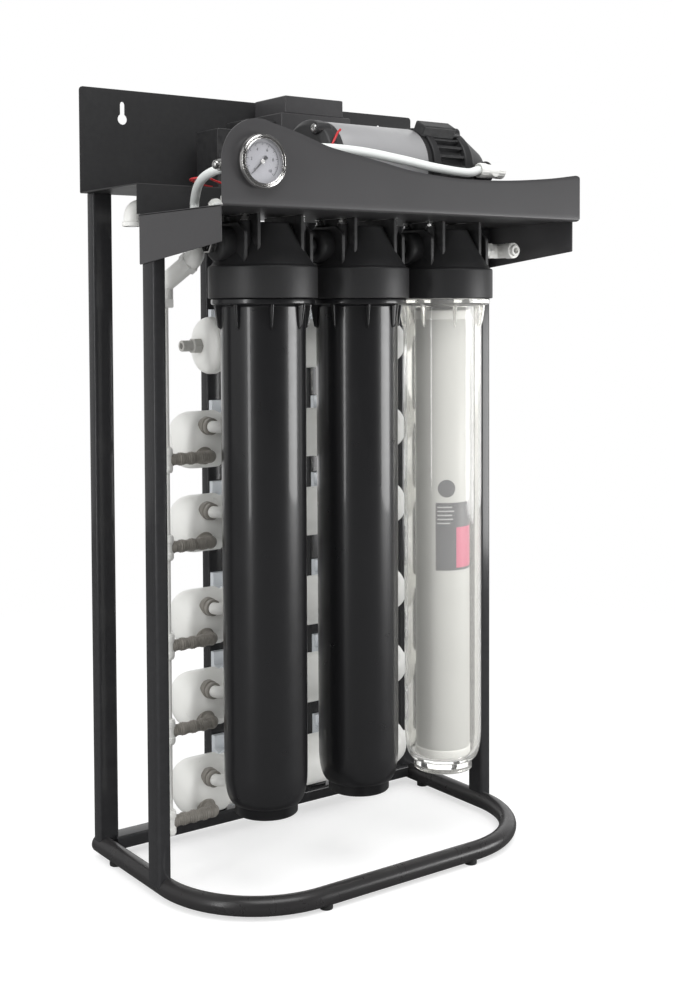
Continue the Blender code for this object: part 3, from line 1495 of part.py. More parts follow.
def build_lines():
    """The two white water tubes over the tray."""
    pump_y = at_depth(pump_depth)
    port_x = pump_port_x()
    port_z = pump_height - pump_port_drop
    front_y = pump_y - pump_port_reach
    rear_y = pump_y + pump_port_reach
    joint_y = front_y - joint_setoff
    floor = tray_height + sheet
    down_y = at_depth(down_tube_depth)
    valve_y = at_depth(valve_depth)
    valve_z = floor + valve_stand_height + valve_port_rise
    plug = pump_port_bore_depth - overrun
    shallow = valve_port_bore_depth - overrun
    pressure = curve_line(
        [(port_x, front_y + plug, port_z), (port_x, front_y, port_z),
         (port_x - joint_radius / 2, joint_y, port_z),
         (port_x - joint_tail_reach, joint_y, port_z)]
        + routed(pressure_route_shares)
        + [(down_tube_x, down_y, tray_height + tube_hole_rise),
           (down_tube_x, down_y, tray_height + overrun),
           (down_tube_x, down_y, down_elbow_top + fit_gap)], tube_steps)
    suction = curve_line(
        [(valve_x + valve_port_reach - shallow, valve_y, valve_z),
         (valve_x + valve_port_reach, valve_y, valve_z),
         (valve_x + valve_port_reach + tube_straight, valve_y, valve_z)]
        + routed(suction_route_shares)
        + [(port_x, rear_y + tube_straight, port_z), (port_x, rear_y, port_z),
           (port_x, rear_y - plug, port_z)], tube_steps)
    look = material("tube_white", (0.80, 0.82, 0.80), 0.4)
    line = swept("pressure_tube", pressure, water_tube_radius, look, water_tube_sides)
    combine(line, [rod("joint", joint_radius, (port_x - joint_tail_reach, joint_y, port_z),
                       (port_x + joint_nose_reach, joint_y, port_z), look),
                   rod("neck", joint_radius, (port_x, joint_y, port_z),
                       (port_x, front_y - fit_gap, port_z), look)])
    swept("suction_tube", suction, water_tube_radius, look, water_tube_sides)


def main():
    """Clears the scene and builds every piece."""
    for item in list(bpy.data.objects):
        bpy.data.objects.remove(item)
    build_stand()
    build_sheet()
    build_housings()
    build_gauge()
    build_pump()
    build_electrics()
    build_vessels()
    build_fittings()
    build_lines()


main()
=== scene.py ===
"""Looks of a reverse osmosis water purifier on its floor stand.

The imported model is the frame. Every piece is made in that frame: X runs to the right, Y to
the back and Z up from the floor, in metres. Only the outlines that bent, turned, sleeve and
nut take are in millimetres. Depths are counted forward from the back panel.
"""

import logging
import math
from collections.abc import Callable
from dataclasses import dataclass
from enum import Enum

import bpy
import numpy as np
from mathutils import Matrix


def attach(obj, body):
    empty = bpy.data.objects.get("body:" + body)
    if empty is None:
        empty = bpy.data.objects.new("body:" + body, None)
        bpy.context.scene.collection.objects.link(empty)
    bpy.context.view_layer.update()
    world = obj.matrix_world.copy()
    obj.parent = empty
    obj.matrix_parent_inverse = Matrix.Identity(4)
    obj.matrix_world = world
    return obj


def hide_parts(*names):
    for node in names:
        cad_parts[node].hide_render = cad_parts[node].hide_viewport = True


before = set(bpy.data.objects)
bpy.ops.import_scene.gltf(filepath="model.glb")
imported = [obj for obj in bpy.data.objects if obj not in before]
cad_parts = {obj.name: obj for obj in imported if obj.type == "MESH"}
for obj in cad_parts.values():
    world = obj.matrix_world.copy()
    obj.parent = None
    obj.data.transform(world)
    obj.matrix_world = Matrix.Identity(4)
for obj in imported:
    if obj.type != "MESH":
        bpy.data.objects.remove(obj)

Array = np.ndarray
Point = tuple[float, float, float]
Colour = tuple[float, float, float]
Corners = list[tuple[float, float]]
ORIGIN = (0.0, 0.0, 0.0)
RIGHT, LEFT = (1.0, 0.0, 0.0), (-1.0, 0.0, 0.0)
BACK, AHEAD = (0.0, 1.0, 0.0), (0.0, -1.0, 0.0)
UP = (0.0, 0.0, 1.0)
BACK_Y = 0.15275
TUBE_RADIUS = 0.00475
log = logging.getLogger("purifier")


# Surfaces

def at_depth(depth: float) -> float:
    """World Y of a place that lies depth in front of the back panel's rear plane."""
    return BACK_Y - depth


class Plane(Enum):
    """The plane an outline is drawn in, as its two axes and the axis across it."""

    FRONT = (0, 2, 1)
    SIDE = (1, 2, 0)
    TOP = (0, 1, 2)


class Hand(Enum):
    """Left or right of the stand, as the sign of X."""

    LEFT = -1
    RIGHT = 1


@dataclass
class Shell:
    """Points and faces of a surface. Each block of faces has one number of corners."""

    points: Array
    faces: list[Array]

    def moved(self, offset: Point) -> "Shell":
        """The same surface, carried by an offset."""
        return Shell(self.points + np.asarray(offset, float), self.faces)

    def spun(self, angle: float, axis: int) -> "Shell":
        """The surface turned about an axis through the origin.

        Args:
            angle: Turn in radians.
            axis: 0, 1 or 2 for X, Y or Z.

        Returns:
            The turned surface.
        """
        one, two = (axis + 1) % 3, (axis + 2) % 3
        turn = np.eye(3)
        turn[one, one] = turn[two, two] = math.cos(angle)
        turn[one, two], turn[two, one] = math.sin(angle), -math.sin(angle)
        return Shell(self.points @ turn, self.faces)

    def outward(self) -> "Shell":
        """The surface with its faces outwards.

        The sum of the signed volumes under the faces is below zero where they point inwards.

        Returns:
            The surface, its corners reversed where the sum is below zero.
        """
        volume = sum(float(np.sum(self.points[block[:, :1]]
                                  * np.cross(self.points[block[:, 1:-1]],
                                             self.points[block[:, 2:]])))
                     for block in self.faces)
        return self if volume > 0 else Shell(self.points, [b[:, ::-1] for b in self.faces])


def join(shells: list[Shell]) -> Shell:
    """Several surfaces as one, with the face numbers shifted.

    Args:
        shells: The surfaces.

    Returns:
        One surface.
    """
    starts = np.cumsum([0] + [len(shell.points) for shell in shells[:-1]])
    faces = [block + start for shell, start in zip(shells, starts) for block in shell.faces]
    return Shell(np.vstack([shell.points for shell in shells]), faces)


def spread(shell: Shell, offsets: list[Point]) -> Shell:
    """Copies of one surface at several offsets, as one surface."""
    return join([shell.moved(offset) for offset in offsets])


def ring_faces(rows: int, columns: int, closed: bool) -> Array:
    """Quads between neighbouring rings of a grid whose columns wrap round.

    Args:
        rows: Number of rings.
        columns: Points in each ring.
        closed: True where the last ring also meets the first.

    Returns:
        An array of quads.
    """
    low = np.arange(rows if closed else rows - 1)[:, None]
    high = (low + 1) % rows
    here = np.arange(columns)[None]
    after = (here + 1) % columns
    return np.stack([low * columns + here, low * columns + after, high * columns + after,
                     high * columns + here], -1).reshape(-1, 4)


def fans(rings: int, columns: int) -> list[Array]:
    """Triangles that close the first and the last ring to the two points after them.

    Args:
        rings: Number of rings.
        columns: Points in each ring.

    Returns:
        The triangles of the first end and those of the last.
    """
    here = np.arange(columns)
    after = (here + 1) % columns
    last, pole = (rings - 1) * columns, np.full(columns, rings * columns)
    return [np.stack([pole, after, here], 1), np.stack([pole + 1, last + here, last + after], 1)]


def basis(axis: Point) -> Array:
    """A frame whose third row is the axis.

    Args:
        axis: Its direction, of any length.

    Returns:
        The rows side, up and along.
    """
    along = np.asarray(axis, float) / np.linalg.norm(axis)
    side = np.cross(np.eye(3)[np.argmin(np.abs(along))], along)
    side /= np.linalg.norm(side)
    return np.stack([side, np.cross(along, side), along])


def tangents(path: Array) -> Array:
    """The unit direction of a path at each of its points."""
    tangent = np.gradient(path, axis=0)
    return tangent / np.linalg.norm(tangent, axis=1)[:, None]


def fillet(corners: Array, radius: float | Array, steps: int = 5, closed: bool = False) -> Array:
    """A line whose corners are arcs, in two or three dimensions.

    An arc's spokes are its two end spokes weighted by the sines of the parts of the turn.
    A reach longer than half of an arm is cut to that.

    Args:
        corners: Corner points, one row each.
        radius: One radius, or one for each corner.
        steps: Steps in each arc.
        closed: True where the line returns to its start.

    Returns:
        The points of the line, with no point twice in a row.
    """
    corners = np.asarray(corners, float)
    radii = np.broadcast_to(np.asarray(radius, float), len(corners))
    here = corners if closed else corners[1:-1]
    back = (np.roll(corners, 1, 0) if closed else corners[:-2]) - here
    ahead = (np.roll(corners, -1, 0) if closed else corners[2:]) - here
    radii = radii if closed else radii[1:-1]
    far_back = np.linalg.norm(back, axis=1)
    far_ahead = np.linalg.norm(ahead, axis=1)
    back, ahead = back / far_back[:, None], ahead / far_ahead[:, None]
    half = np.arccos(np.clip(np.sum(back * ahead, 1), -1, 0.9999)) / 2
    half = np.minimum(half, math.pi / 2 - 1e-4)
    reach = np.minimum(radii / np.tan(half), 0.49 * np.minimum(far_back, far_ahead))
    reach = np.maximum(reach, 1e-9)
    inward = back + ahead
    inward /= np.maximum(np.linalg.norm(inward, axis=1), 1e-12)[:, None]
    centre = here + inward * (reach / np.cos(half))[:, None]
    start = here + back * reach[:, None] - centre
    end = here + ahead * reach[:, None] - centre
    sweep = (math.pi - 2 * half)[:, None, None]
    share = np.linspace(0, 1, steps + 1)[None, :, None]
    arcs = centre[:, None] + (np.sin((1 - share) * sweep) * start[:, None]
                              + np.sin(share * sweep) * end[:, None]) / np.sin(sweep)
    line = arcs.reshape(-1, corners.shape[1])
    if not closed:
        line = np.vstack([corners[:1], line, corners[-1:]])
    apart = np.linalg.norm(line - np.roll(line, 1, 0), axis=1) > 2e-6
    apart[0] |= not closed
    return line[apart]


def bent(corners: Corners, radii: float | tuple = 0.0, steps: int = 5, closed: bool = False) \
        -> Array:
    """A line in millimetres with its corners rounded, given back in metres."""
    return fillet(np.asarray(corners, float) / 1000, np.asarray(radii, float) / 1000, steps,
                  closed)


def lathe(profile: Array, origin: Point = ORIGIN, axis: Point = UP, sides: int = 64,
          ripple: Callable[[Array], Array] | None = None) -> Shell:
    """Radius and height pairs turned round an axis.

    Args:
        profile: Pairs in metres that start and end at radius zero, or a loop off the axis.
        origin: The point at height zero.
        axis: Direction of the height.
        sides: Points round the axis.
        ripple: Share by which the radius grows at an angle.

    Returns:
        A closed surface.
    """
    profile = np.asarray(profile, float)
    poled = bool(profile[0, 0] == 0)
    rings = profile[1:-1] if poled else profile
    angle = 2 * math.pi * (np.arange(sides)[None] + 0.5) / sides
    radius = np.repeat(rings[:, :1], sides, 1)
    if ripple is not None:
        radius = radius * (1 + ripple(angle))
    local = np.stack([radius * np.cos(angle), radius * np.sin(angle),
                      np.repeat(rings[:, 1:], sides, 1)], -1).reshape(-1, 3)
    faces = [ring_faces(len(rings), sides, not poled)]
    if poled:
        faces += fans(len(rings), sides)
        local = np.vstack([local, [[0, 0, profile[0, 1]], [0, 0, profile[-1, 1]]]])
    return Shell(local @ basis(axis) + np.asarray(origin, float), faces).outward()


def turned(corners: Corners, radii: float | tuple = 0.0, origin: Point = ORIGIN,
           axis: Point = UP, sides: int = 64, steps: int = 5) -> Shell:
    """Radius and height corners in millimetres, rounded and turned round an axis.

    Corners that start off the axis are a loop.
    """
    return lathe(bent(corners, radii, steps, corners[0][0] > 0), origin, axis, sides)


def sleeve(inner: float, outer: float, low: float, high: float, radius: float,
           origin: Point = ORIGIN, axis: Point = UP, sides: int = 32, steps: int = 3) -> Shell:
    """A round sleeve, or a rod where its inner radius is zero, from millimetres."""
    return turned([(inner, low), (outer, low), (outer, high), (inner, high)], radius, origin,
                  axis, sides, steps)


def nut(radius: float, height: float, bore: float, origin: Point = ORIGIN, axis: Point = UP,
        sides: int = 6, lift: float = 0.0) -> Shell:
    """A nut with chamfered rims.

    Args:
        radius: Its corner radius in millimetres.
        height: Its height in millimetres.
        bore: Radius of its bore in millimetres.
        origin: World place that its height is counted from.
        axis: Direction of its height.
        sides: Number of its corners.
        lift: Height of its lower face in millimetres.

    Returns:
        A closed surface.
    """
    ease = 0.12 * height
    profile = [(bore, 0), (radius - ease, 0), (radius, ease), (radius, height - ease),
               (radius - ease, height), (bore, height)]
    return lathe((np.array(profile) + (0, lift)) / 1000, origin, axis, sides)


def thread(rise: Array, radius: float, depth: float, pitch: float) -> Array:
    """Radius and height pairs of a thread's saw teeth, in metres."""
    return np.stack([radius + depth * np.abs(((rise / pitch) % 1) * 2 - 1), rise], 1)


def round_cap(radius: float, height: float, base: float, length: float, power: float,
              share: Array) -> Array:
    """Radius and height pairs of a dome that falls as a superellipse.

    Args:
        radius: Radius that the dome adds to its base.
        height: Height where it starts.
        base: Radius that is left at its end.
        length: Its length, below zero where it goes down.
        power: The superellipse's power.
        share: Shares of the length.

    Returns:
        Pairs in metres.
    """
    return np.stack([base + radius * (1 - share ** power) ** (1 / power),
                     height + length * share], 1)


def circle(radius: float, sides: int = 24) -> Array:
    """Points of a round section."""
    angle = 2 * math.pi * np.arange(sides) / sides
    return radius * np.stack([np.cos(angle), np.sin(angle)], 1)


def box_section(half_one: float, half_two: float, radius: float) -> Array:
    """Points of a rectangular section with rounded corners."""
    corners = np.array([(-1, -1), (1, -1), (1, 1), (-1, 1)]) * (half_one, half_two)
    return fillet(corners, radius, 5, True)


def carry(path: Array, section: Array, swell: Array | None = None,
          normal: Point | None = None) -> Shell:
    """A section carried along a path, with both ends closed.

    The side of a section is the tangent crossed with the direction that the path leans
    to least, and up is the side crossed with the tangent.

    Args:
        path: Points of the path.
        section: Points of the section, in its own two directions.
        swell: Factor on the section at each point of the path.
        normal: Direction that the path leans to least, found from the path if None.

    Returns:
        A closed surface.
    """
    path = np.asarray(path, float)
    tangent = tangents(path)
    lean = np.linalg.svd(tangent, full_matrices=True)[2][-1] if normal is None else normal
    side = np.cross(tangent, lean)
    side /= np.linalg.norm(side, axis=1)[:, None]
    up = np.cross(side, tangent)
    grow = np.ones(len(path)) if swell is None else swell
    rings = path[:, None] + grow[:, None, None] * (section[None, :, :1] * side[:, None]
                                                   + section[None, :, 1:] * up[:, None])
    faces = [ring_faces(len(path), len(section), False)] + fans(len(path), len(section))
    points = np.vstack([rings.reshape(-1, 3), path[:1], path[-1:]])
    return Shell(points, faces).outward()


def slab(outline: Array, low: float, high: float, plane: Plane) -> Shell:
    """A flat outline pushed across its plane from one level to another.

    Args:
        outline: Points of the outline in the plane's two axes.
        low: First level.
        high: Second level.
        plane: The plane of the outline.

    Returns:
        A closed surface with one face at each end.
    """
    outline = np.asarray(outline, float)
    count = len(outline)
    one, two, across = plane.value
    points = np.zeros((2 * count, 3))
    points[:, one] = np.tile(outline[:, 0], 2)
    points[:, two] = np.tile(outline[:, 1], 2)
    points[:, across] = np.repeat([low, high], count)
    ends = np.stack([np.arange(count)[::-1], np.arange(count) + count])
    return Shell(points, [ring_faces(2, count, False), ends]).outward()


def block(low: Point, high: Point) -> Shell:
    """A box between two corners."""
    outline = [(low[0], low[1]), (high[0], low[1]), (high[0], high[1]), (low[0], high[1])]
    return slab(outline, low[2], high[2], Plane.TOP)


def spline(guides: Array, steps: int) -> Array:
    """A smooth line through every guide point.

    Between two guides it is the cubic whose slopes at them are half the steps between
    their neighbours.

    Args:
        guides: Points to pass through.
        steps: Steps between neighbouring guides.

    Returns:
        The points of the line.
    """
    guides = np.asarray(guides, float)
    ends = np.vstack([2 * guides[0] - guides[1], guides, 2 * guides[-1] - guides[-2]])
    before, here, after, beyond = (ends[shift:len(ends) - 3 + shift, None] for shift in range(4))
    share = (np.arange(steps) / steps)[None, :, None]
    line = 0.5 * (2 * here + (after - before) * share
                  + (2 * before - 5 * here + 4 * after - beyond) * share ** 2
                  + (3 * here - before - 3 * after + beyond) * share ** 3)
    return np.vstack([line.reshape(-1, guides.shape[1]), guides[-1:]])


def quarter(steps: int, start: float = 0.0, end: float = 90.0) -> Array:
    """Even angles in radians between two angles in degrees."""
    return np.radians(np.linspace(start, end, steps))


# Node recipes

class Recipe:
    """Adds nodes to one tree and joins them in the same call."""

    def __init__(self, tree: bpy.types.NodeTree) -> None:
        """Keeps the tree that the nodes go to."""
        self.tree = tree

    @classmethod
    def fresh(cls, owner: bpy.types.ID) -> "Recipe":
        """The recipe of an emptied tree.

        Args:
            owner: The material or world that owns the tree.

        Returns:
            The recipe.
        """
        owner.use_nodes = True
        owner.node_tree.nodes.clear()
        return cls(owner.node_tree)

    def add(self, kind: str, inputs: dict | None = None, **settings: object) -> bpy.types.Node:
        """One node with its settings and inputs.

        Args:
            kind: Node type without its first words.
            inputs: Sockets or plain values, by the input's name or number.
            settings: Properties of the node.

        Returns:
            The node.
        """
        node = self.tree.nodes.new("ShaderNode" + kind)
        for key, value in settings.items():
            setattr(node, key, value)
        for key, value in (inputs or {}).items():
            if isinstance(value, bpy.types.NodeSocket):
                self.tree.links.new(value, node.inputs[key])
            else:
                node.inputs[key].default_value = value
        return node

    def maths(self, operation: str, one: object, two: object = 0.0, three: object = 0.0,
              clamp: bool = False) -> bpy.types.NodeSocket:
        """The value of one sum."""
        return self.add("Math", {0: one, 1: two, 2: three}, operation=operation,
                        use_clamp=clamp).outputs[0]

    def times(self, one: object, two: object, clamp: bool = False) -> bpy.types.NodeSocket:
        """The product of two values."""
        return self.maths("MULTIPLY", one, two, clamp=clamp)

    def vector(self, operation: str, *parts: object) -> bpy.types.NodeSocket:
        """The value of one sum with vectors."""
        return self.add("VectorMath", dict(enumerate(parts)), operation=operation).outputs["Value"]

    def mix(self, factor: object, one: object, two: object) -> bpy.types.NodeSocket:
        """A colour between two colours."""
        return self.add("Mix", {0: factor, 6: one, 7: two}, data_type="RGBA").outputs[2]

    def ranged(self, value: object, low: float, high: float, new_low: float = 0.0,
               new_high: float = 1.0) -> bpy.types.NodeSocket:
        """A value carried from one range to another and kept inside it."""
        return self.add("MapRange", {"Value": value, "From Min": low, "From Max": high,
                                     "To Min": new_low, "To Max": new_high}).outputs[0]

    def place(self, kind: str = "Object") -> bpy.types.NodeSocket:
        """The coordinates of one kind."""
        return self.add("TexCoord").outputs[kind]

    def noise(self, scale: object, detail: float, **more: float) -> bpy.types.NodeSocket:
        """Noise on the object's coordinates."""
        others = {key.capitalize(): value for key, value in more.items()}
        return self.add("TexNoise", {"Vector": self.place(), "Scale": scale, "Detail": detail,
                                     **others}).outputs["Fac"]

    def seen(self, rays: bpy.types.Node) -> bpy.types.NodeSocket:
        """One on rays that come from the camera or through something clear."""
        return self.maths("MAXIMUM", rays.outputs["Is Camera Ray"],
                          rays.outputs["Is Transmission Ray"])

    def effect(self, group: bpy.types.NodeTree, inputs: dict) -> bpy.types.Node:
        """One shared effect, with its own values."""
        return self.add("Group", inputs, node_tree=group)

    def surface(self, socket: bpy.types.NodeSocket, kind: str = "Material") -> None:
        """Joins a shader to the output of a material or a world."""
        self.add("Output" + kind, {"Surface": socket})


def effect_group(name: str, inputs: dict[str, float],
                 build: Callable[[Recipe, bpy.types.Node], dict]) -> bpy.types.NodeTree:
    """A node group with named float sockets.

    Args:
        name: Name of the group.
        inputs: Input names and their usual values.
        build: Adds the nodes, from the recipe and the input sockets, and gives the outputs.

    Returns:
        The group.
    """
    tree = bpy.data.node_groups.new(name, "ShaderNodeTree")
    for key, value in inputs.items():
        socket = tree.interface.new_socket(key, in_out="INPUT", socket_type="NodeSocketFloat")
        socket.default_value = value
    start, end = tree.nodes.new("NodeGroupInput"), tree.nodes.new("NodeGroupOutput")
    for key, value in build(Recipe(tree), start.outputs).items():
        tree.interface.new_socket(key, in_out="OUTPUT", socket_type="NodeSocketFloat")
        tree.links.new(value, end.inputs[key])
    return tree


class Effects:
    """The effects that several finishes share, each a node group made once."""

    def __init__(self) -> None:
        """Builds the groups."""
        self.grain = effect_group("surface_grain", {"Scale": 900.0, "Blotch": 18.0},
                                  self.build_grain)
        self.edges = effect_group("edge_wear_and_highlight", {"Amount": 0.3, "Break": 1.0}, self.build_edges)
        self.dust = effect_group("settled_dust", {"Amount": 0.1}, self.build_dust)

    @staticmethod
    def build_grain(recipe: Recipe, given: object) -> dict:
        """Fine moulded or sprayed texture, and slow changes of tone and gloss."""
        cells = recipe.add("TexVoronoi", {"Vector": recipe.place(), "Scale": given["Scale"]},
                           feature="SMOOTH_F1")
        return {"Height": recipe.maths("MULTIPLY_ADD", cells.outputs["Distance"], 0.5,
                                       recipe.noise(given["Scale"], 3.0, roughness=0.6)),
                "Tone": recipe.noise(given["Blotch"], 4.0),
                "Smudge": recipe.noise(46.0, 5.0, roughness=0.65, distortion=0.8)}

    @staticmethod
    def build_edges(recipe: Recipe, given: object) -> dict:
        """Light on convex edges: wear that hands and cartons have rubbed where the noise breaks it
        up, and a painted highlight along the edges where the break is low.
        """
        wear_and_highlight = recipe.times(
            recipe.ranged(recipe.add("NewGeometry").outputs["Pointiness"], 0.52, 0.62),
            recipe.maths("SUBTRACT", 1.0, recipe.times(
                recipe.ranged(recipe.noise(160.0, 4.0), 0.35, 0.65, 1.0, 0.0), given["Break"])))
        return {"Mask": recipe.times(wear_and_highlight, given["Amount"], True)}

    @staticmethod
    def build_dust(recipe: Recipe, given: object) -> dict:
        """A thin film of dust where a surface looks up."""
        parts = recipe.add("SeparateXYZ", {0: recipe.add("NewGeometry").outputs["Normal"]})
        return {"Mask": recipe.times(recipe.times(
            recipe.ranged(parts.outputs["Z"], 0.5, 1.0),
            recipe.ranged(recipe.noise(70.0, 6.0), 0.3, 0.7)), given["Amount"], True)}


def shaded(colour: Colour, factor: float) -> tuple[float, float, float, float]:
    """A colour made lighter or darker by a factor."""
    return (*(min(channel * factor, 1.0) for channel in colour), 1.0)


def grey(tone: float) -> Colour:
    """A colour with three equal channels."""
    return (tone, tone, tone)


DUST = (0.42, 0.41, 0.39)


@dataclass(frozen=True)
class Finish:
    """One opaque finish: its material slot, colour, gloss, grain, edge light and dust."""

    name: str
    slot: str
    colour: Colour
    roughness: float
    tone: float = 0.10
    gloss_spread: float = 0.08
    grain_scale: float = 900.0
    grain_depth: float = 0.12
    edge: float = 0.25
    dust: float = 0.06
    edge_colour: Colour = (0.30, 0.30, 0.31)
    edge_break: float = 1.0
    metallic: float = 0.0
    coat: float = 0.0
    coat_roughness: float = 0.12
    specular: float = 0.5

    def printed(self, recipe: Recipe, base: object) -> object:
        """The colour with what is printed on it, which is nothing on a plain finish."""
        return base

    def finish_shader(self, recipe: Recipe, shader: bpy.types.Node) -> bpy.types.NodeSocket:
        """The shader as it goes to the output, unchanged on an opaque finish."""
        return shader.outputs[0]

    def make(self, effects: Effects) -> bpy.types.Material:
        """The material.

        Args:
            effects: The shared effects.

        Returns:
            A material whose colour, roughness and bump change over the surface.
        """
        material = bpy.data.materials.new(self.name)
        recipe = Recipe.fresh(material)
        grain = recipe.effect(effects.grain, {"Scale": self.grain_scale})
        # The edge mask is rubbed wear where patchy and a painted highlight where even.
        wear_and_highlight = recipe.effect(effects.edges, {"Amount": self.edge, "Break": self.edge_break})
        film = recipe.effect(effects.dust, {"Amount": self.dust})
        base = recipe.mix(recipe.ranged(grain.outputs["Tone"], 0.3, 0.7),
                          shaded(self.colour, 1 - self.tone), shaded(self.colour, 1 + self.tone))
        base = self.printed(recipe, base)
        base = recipe.mix(wear_and_highlight.outputs["Mask"], base, (*self.edge_colour, 1.0))
        rough = recipe.ranged(grain.outputs["Smudge"], 0.3, 0.7,
                              max(self.roughness - self.gloss_spread, 0.03),
                              self.roughness + self.gloss_spread)
        bump = recipe.add("Bump", {"Height": grain.outputs["Height"],
                                   "Strength": self.grain_depth, "Distance": 0.0004})
        shader = recipe.add("BsdfPrincipled", {
            "Base Color": recipe.mix(film.outputs["Mask"], base, (*DUST, 1.0)),
            "Roughness": rough, "Metallic": self.metallic, "Normal": bump.outputs[0],
            "Coat Weight": self.coat, "Coat Roughness": self.coat_roughness,
            "Specular IOR Level": self.specular})
        recipe.surface(self.finish_shader(recipe, shader))
        return material


@dataclass(frozen=True)
class ClearFinish(Finish):
    """A clear moulding that light passes through."""

    ior: float = 1.5
    shadow: float = 0.92
    clearness: float = 1.0

    def finish_shader(self, recipe: Recipe, shader: bpy.types.Node) -> bpy.types.NodeSocket:
        """Makes the shader clear, and lets light through to what lies behind it.

        Args:
            recipe: Recipe of the material's tree.
            shader: Its main shader.

        Returns:
            The mixed shader.
        """
        shader.inputs["Transmission Weight"].default_value = self.clearness
        shader.inputs["IOR"].default_value = self.ior
        passing = recipe.add("BsdfTransparent", {"Color": (*grey(self.shadow), 1.0)})
        rays = recipe.add("LightPath").outputs
        either = recipe.maths("MAXIMUM", rays["Is Shadow Ray"], rays["Is Diffuse Ray"])
        return recipe.add("MixShader", {0: either, 1: shader.outputs[0],
                                        2: passing.outputs[0]}).outputs[0]


@dataclass(frozen=True)
class Patch:
    """A printed block on a round wall: middle angle and height, half sizes, colour."""

    angle: float
    height: float
    half_angle: float
    half_height: float
    colour: Colour
    disc: bool = False


@dataclass(frozen=True)
class WrappedFinish(Finish):
    """A finish with plain printed blocks round an upright axis."""

    axis: tuple[float, float] = (0.116, -0.04725)
    radius: float = 0.0305
    patches: tuple[Patch, ...] = ()

    def printed(self, recipe: Recipe, base: object) -> object:
        """Lays the printed blocks on the colour.

        A block holds the places whose angle round the axis and whose height are both
        within its half sizes. A disc holds those whose distance along the wall is.

        Args:
            recipe: Recipe of the material's tree.
            base: The colour below the print.

        Returns:
            The colour with the blocks on it.
        """
        parts = recipe.add("SeparateXYZ", {0: recipe.place()}).outputs
        across, inward = (recipe.maths("SUBTRACT", parts[part], middle)
                          for part, middle in zip("XY", self.axis))
        angle = recipe.maths("ARCTAN2", inward, across)
        for patch in self.patches:
            off_angle = recipe.maths("SUBTRACT", angle, patch.angle)
            off_height = recipe.maths("SUBTRACT", parts["Z"], patch.height)
            if patch.disc:
                along = recipe.times(off_angle, self.radius)
                far = recipe.maths("SQRT", recipe.maths("MULTIPLY_ADD", along, along,
                                                        recipe.times(off_height, off_height)))
                mask = recipe.ranged(far, patch.half_height, patch.half_height * 0.93)
            else:
                wide, tall = (recipe.maths("ABSOLUTE", off) for off in (off_angle, off_height))
                mask = recipe.times(
                    recipe.ranged(wide, patch.half_angle, patch.half_angle * 0.94),
                    recipe.ranged(tall, patch.half_height, patch.half_height * 0.97))
            base = recipe.mix(mask, base, (*patch.colour, 1.0))
        return base


PRINT, FAINT = (0.045, 0.045, 0.058), (0.45, 0.45, 0.46)
PATCHES = (Patch(-1.63, 0.3555, 0.93, 0.0385, PRINT),
           Patch(-1.24, 0.3430, 0.54, 0.0230, (0.62, 0.070, 0.170)),
           Patch(-2.13, 0.4094, 0.30, 0.0102, PRINT, True),
           *(Patch(angle, height, half, 0.0008, FAINT) for angle, height, half in (
               (-2.20, 0.3885, 0.28), (-2.16, 0.3840, 0.32), (-2.20, 0.3795, 0.28),
               (-2.18, 0.3750, 0.30), (-2.24, 0.3705, 0.24))))
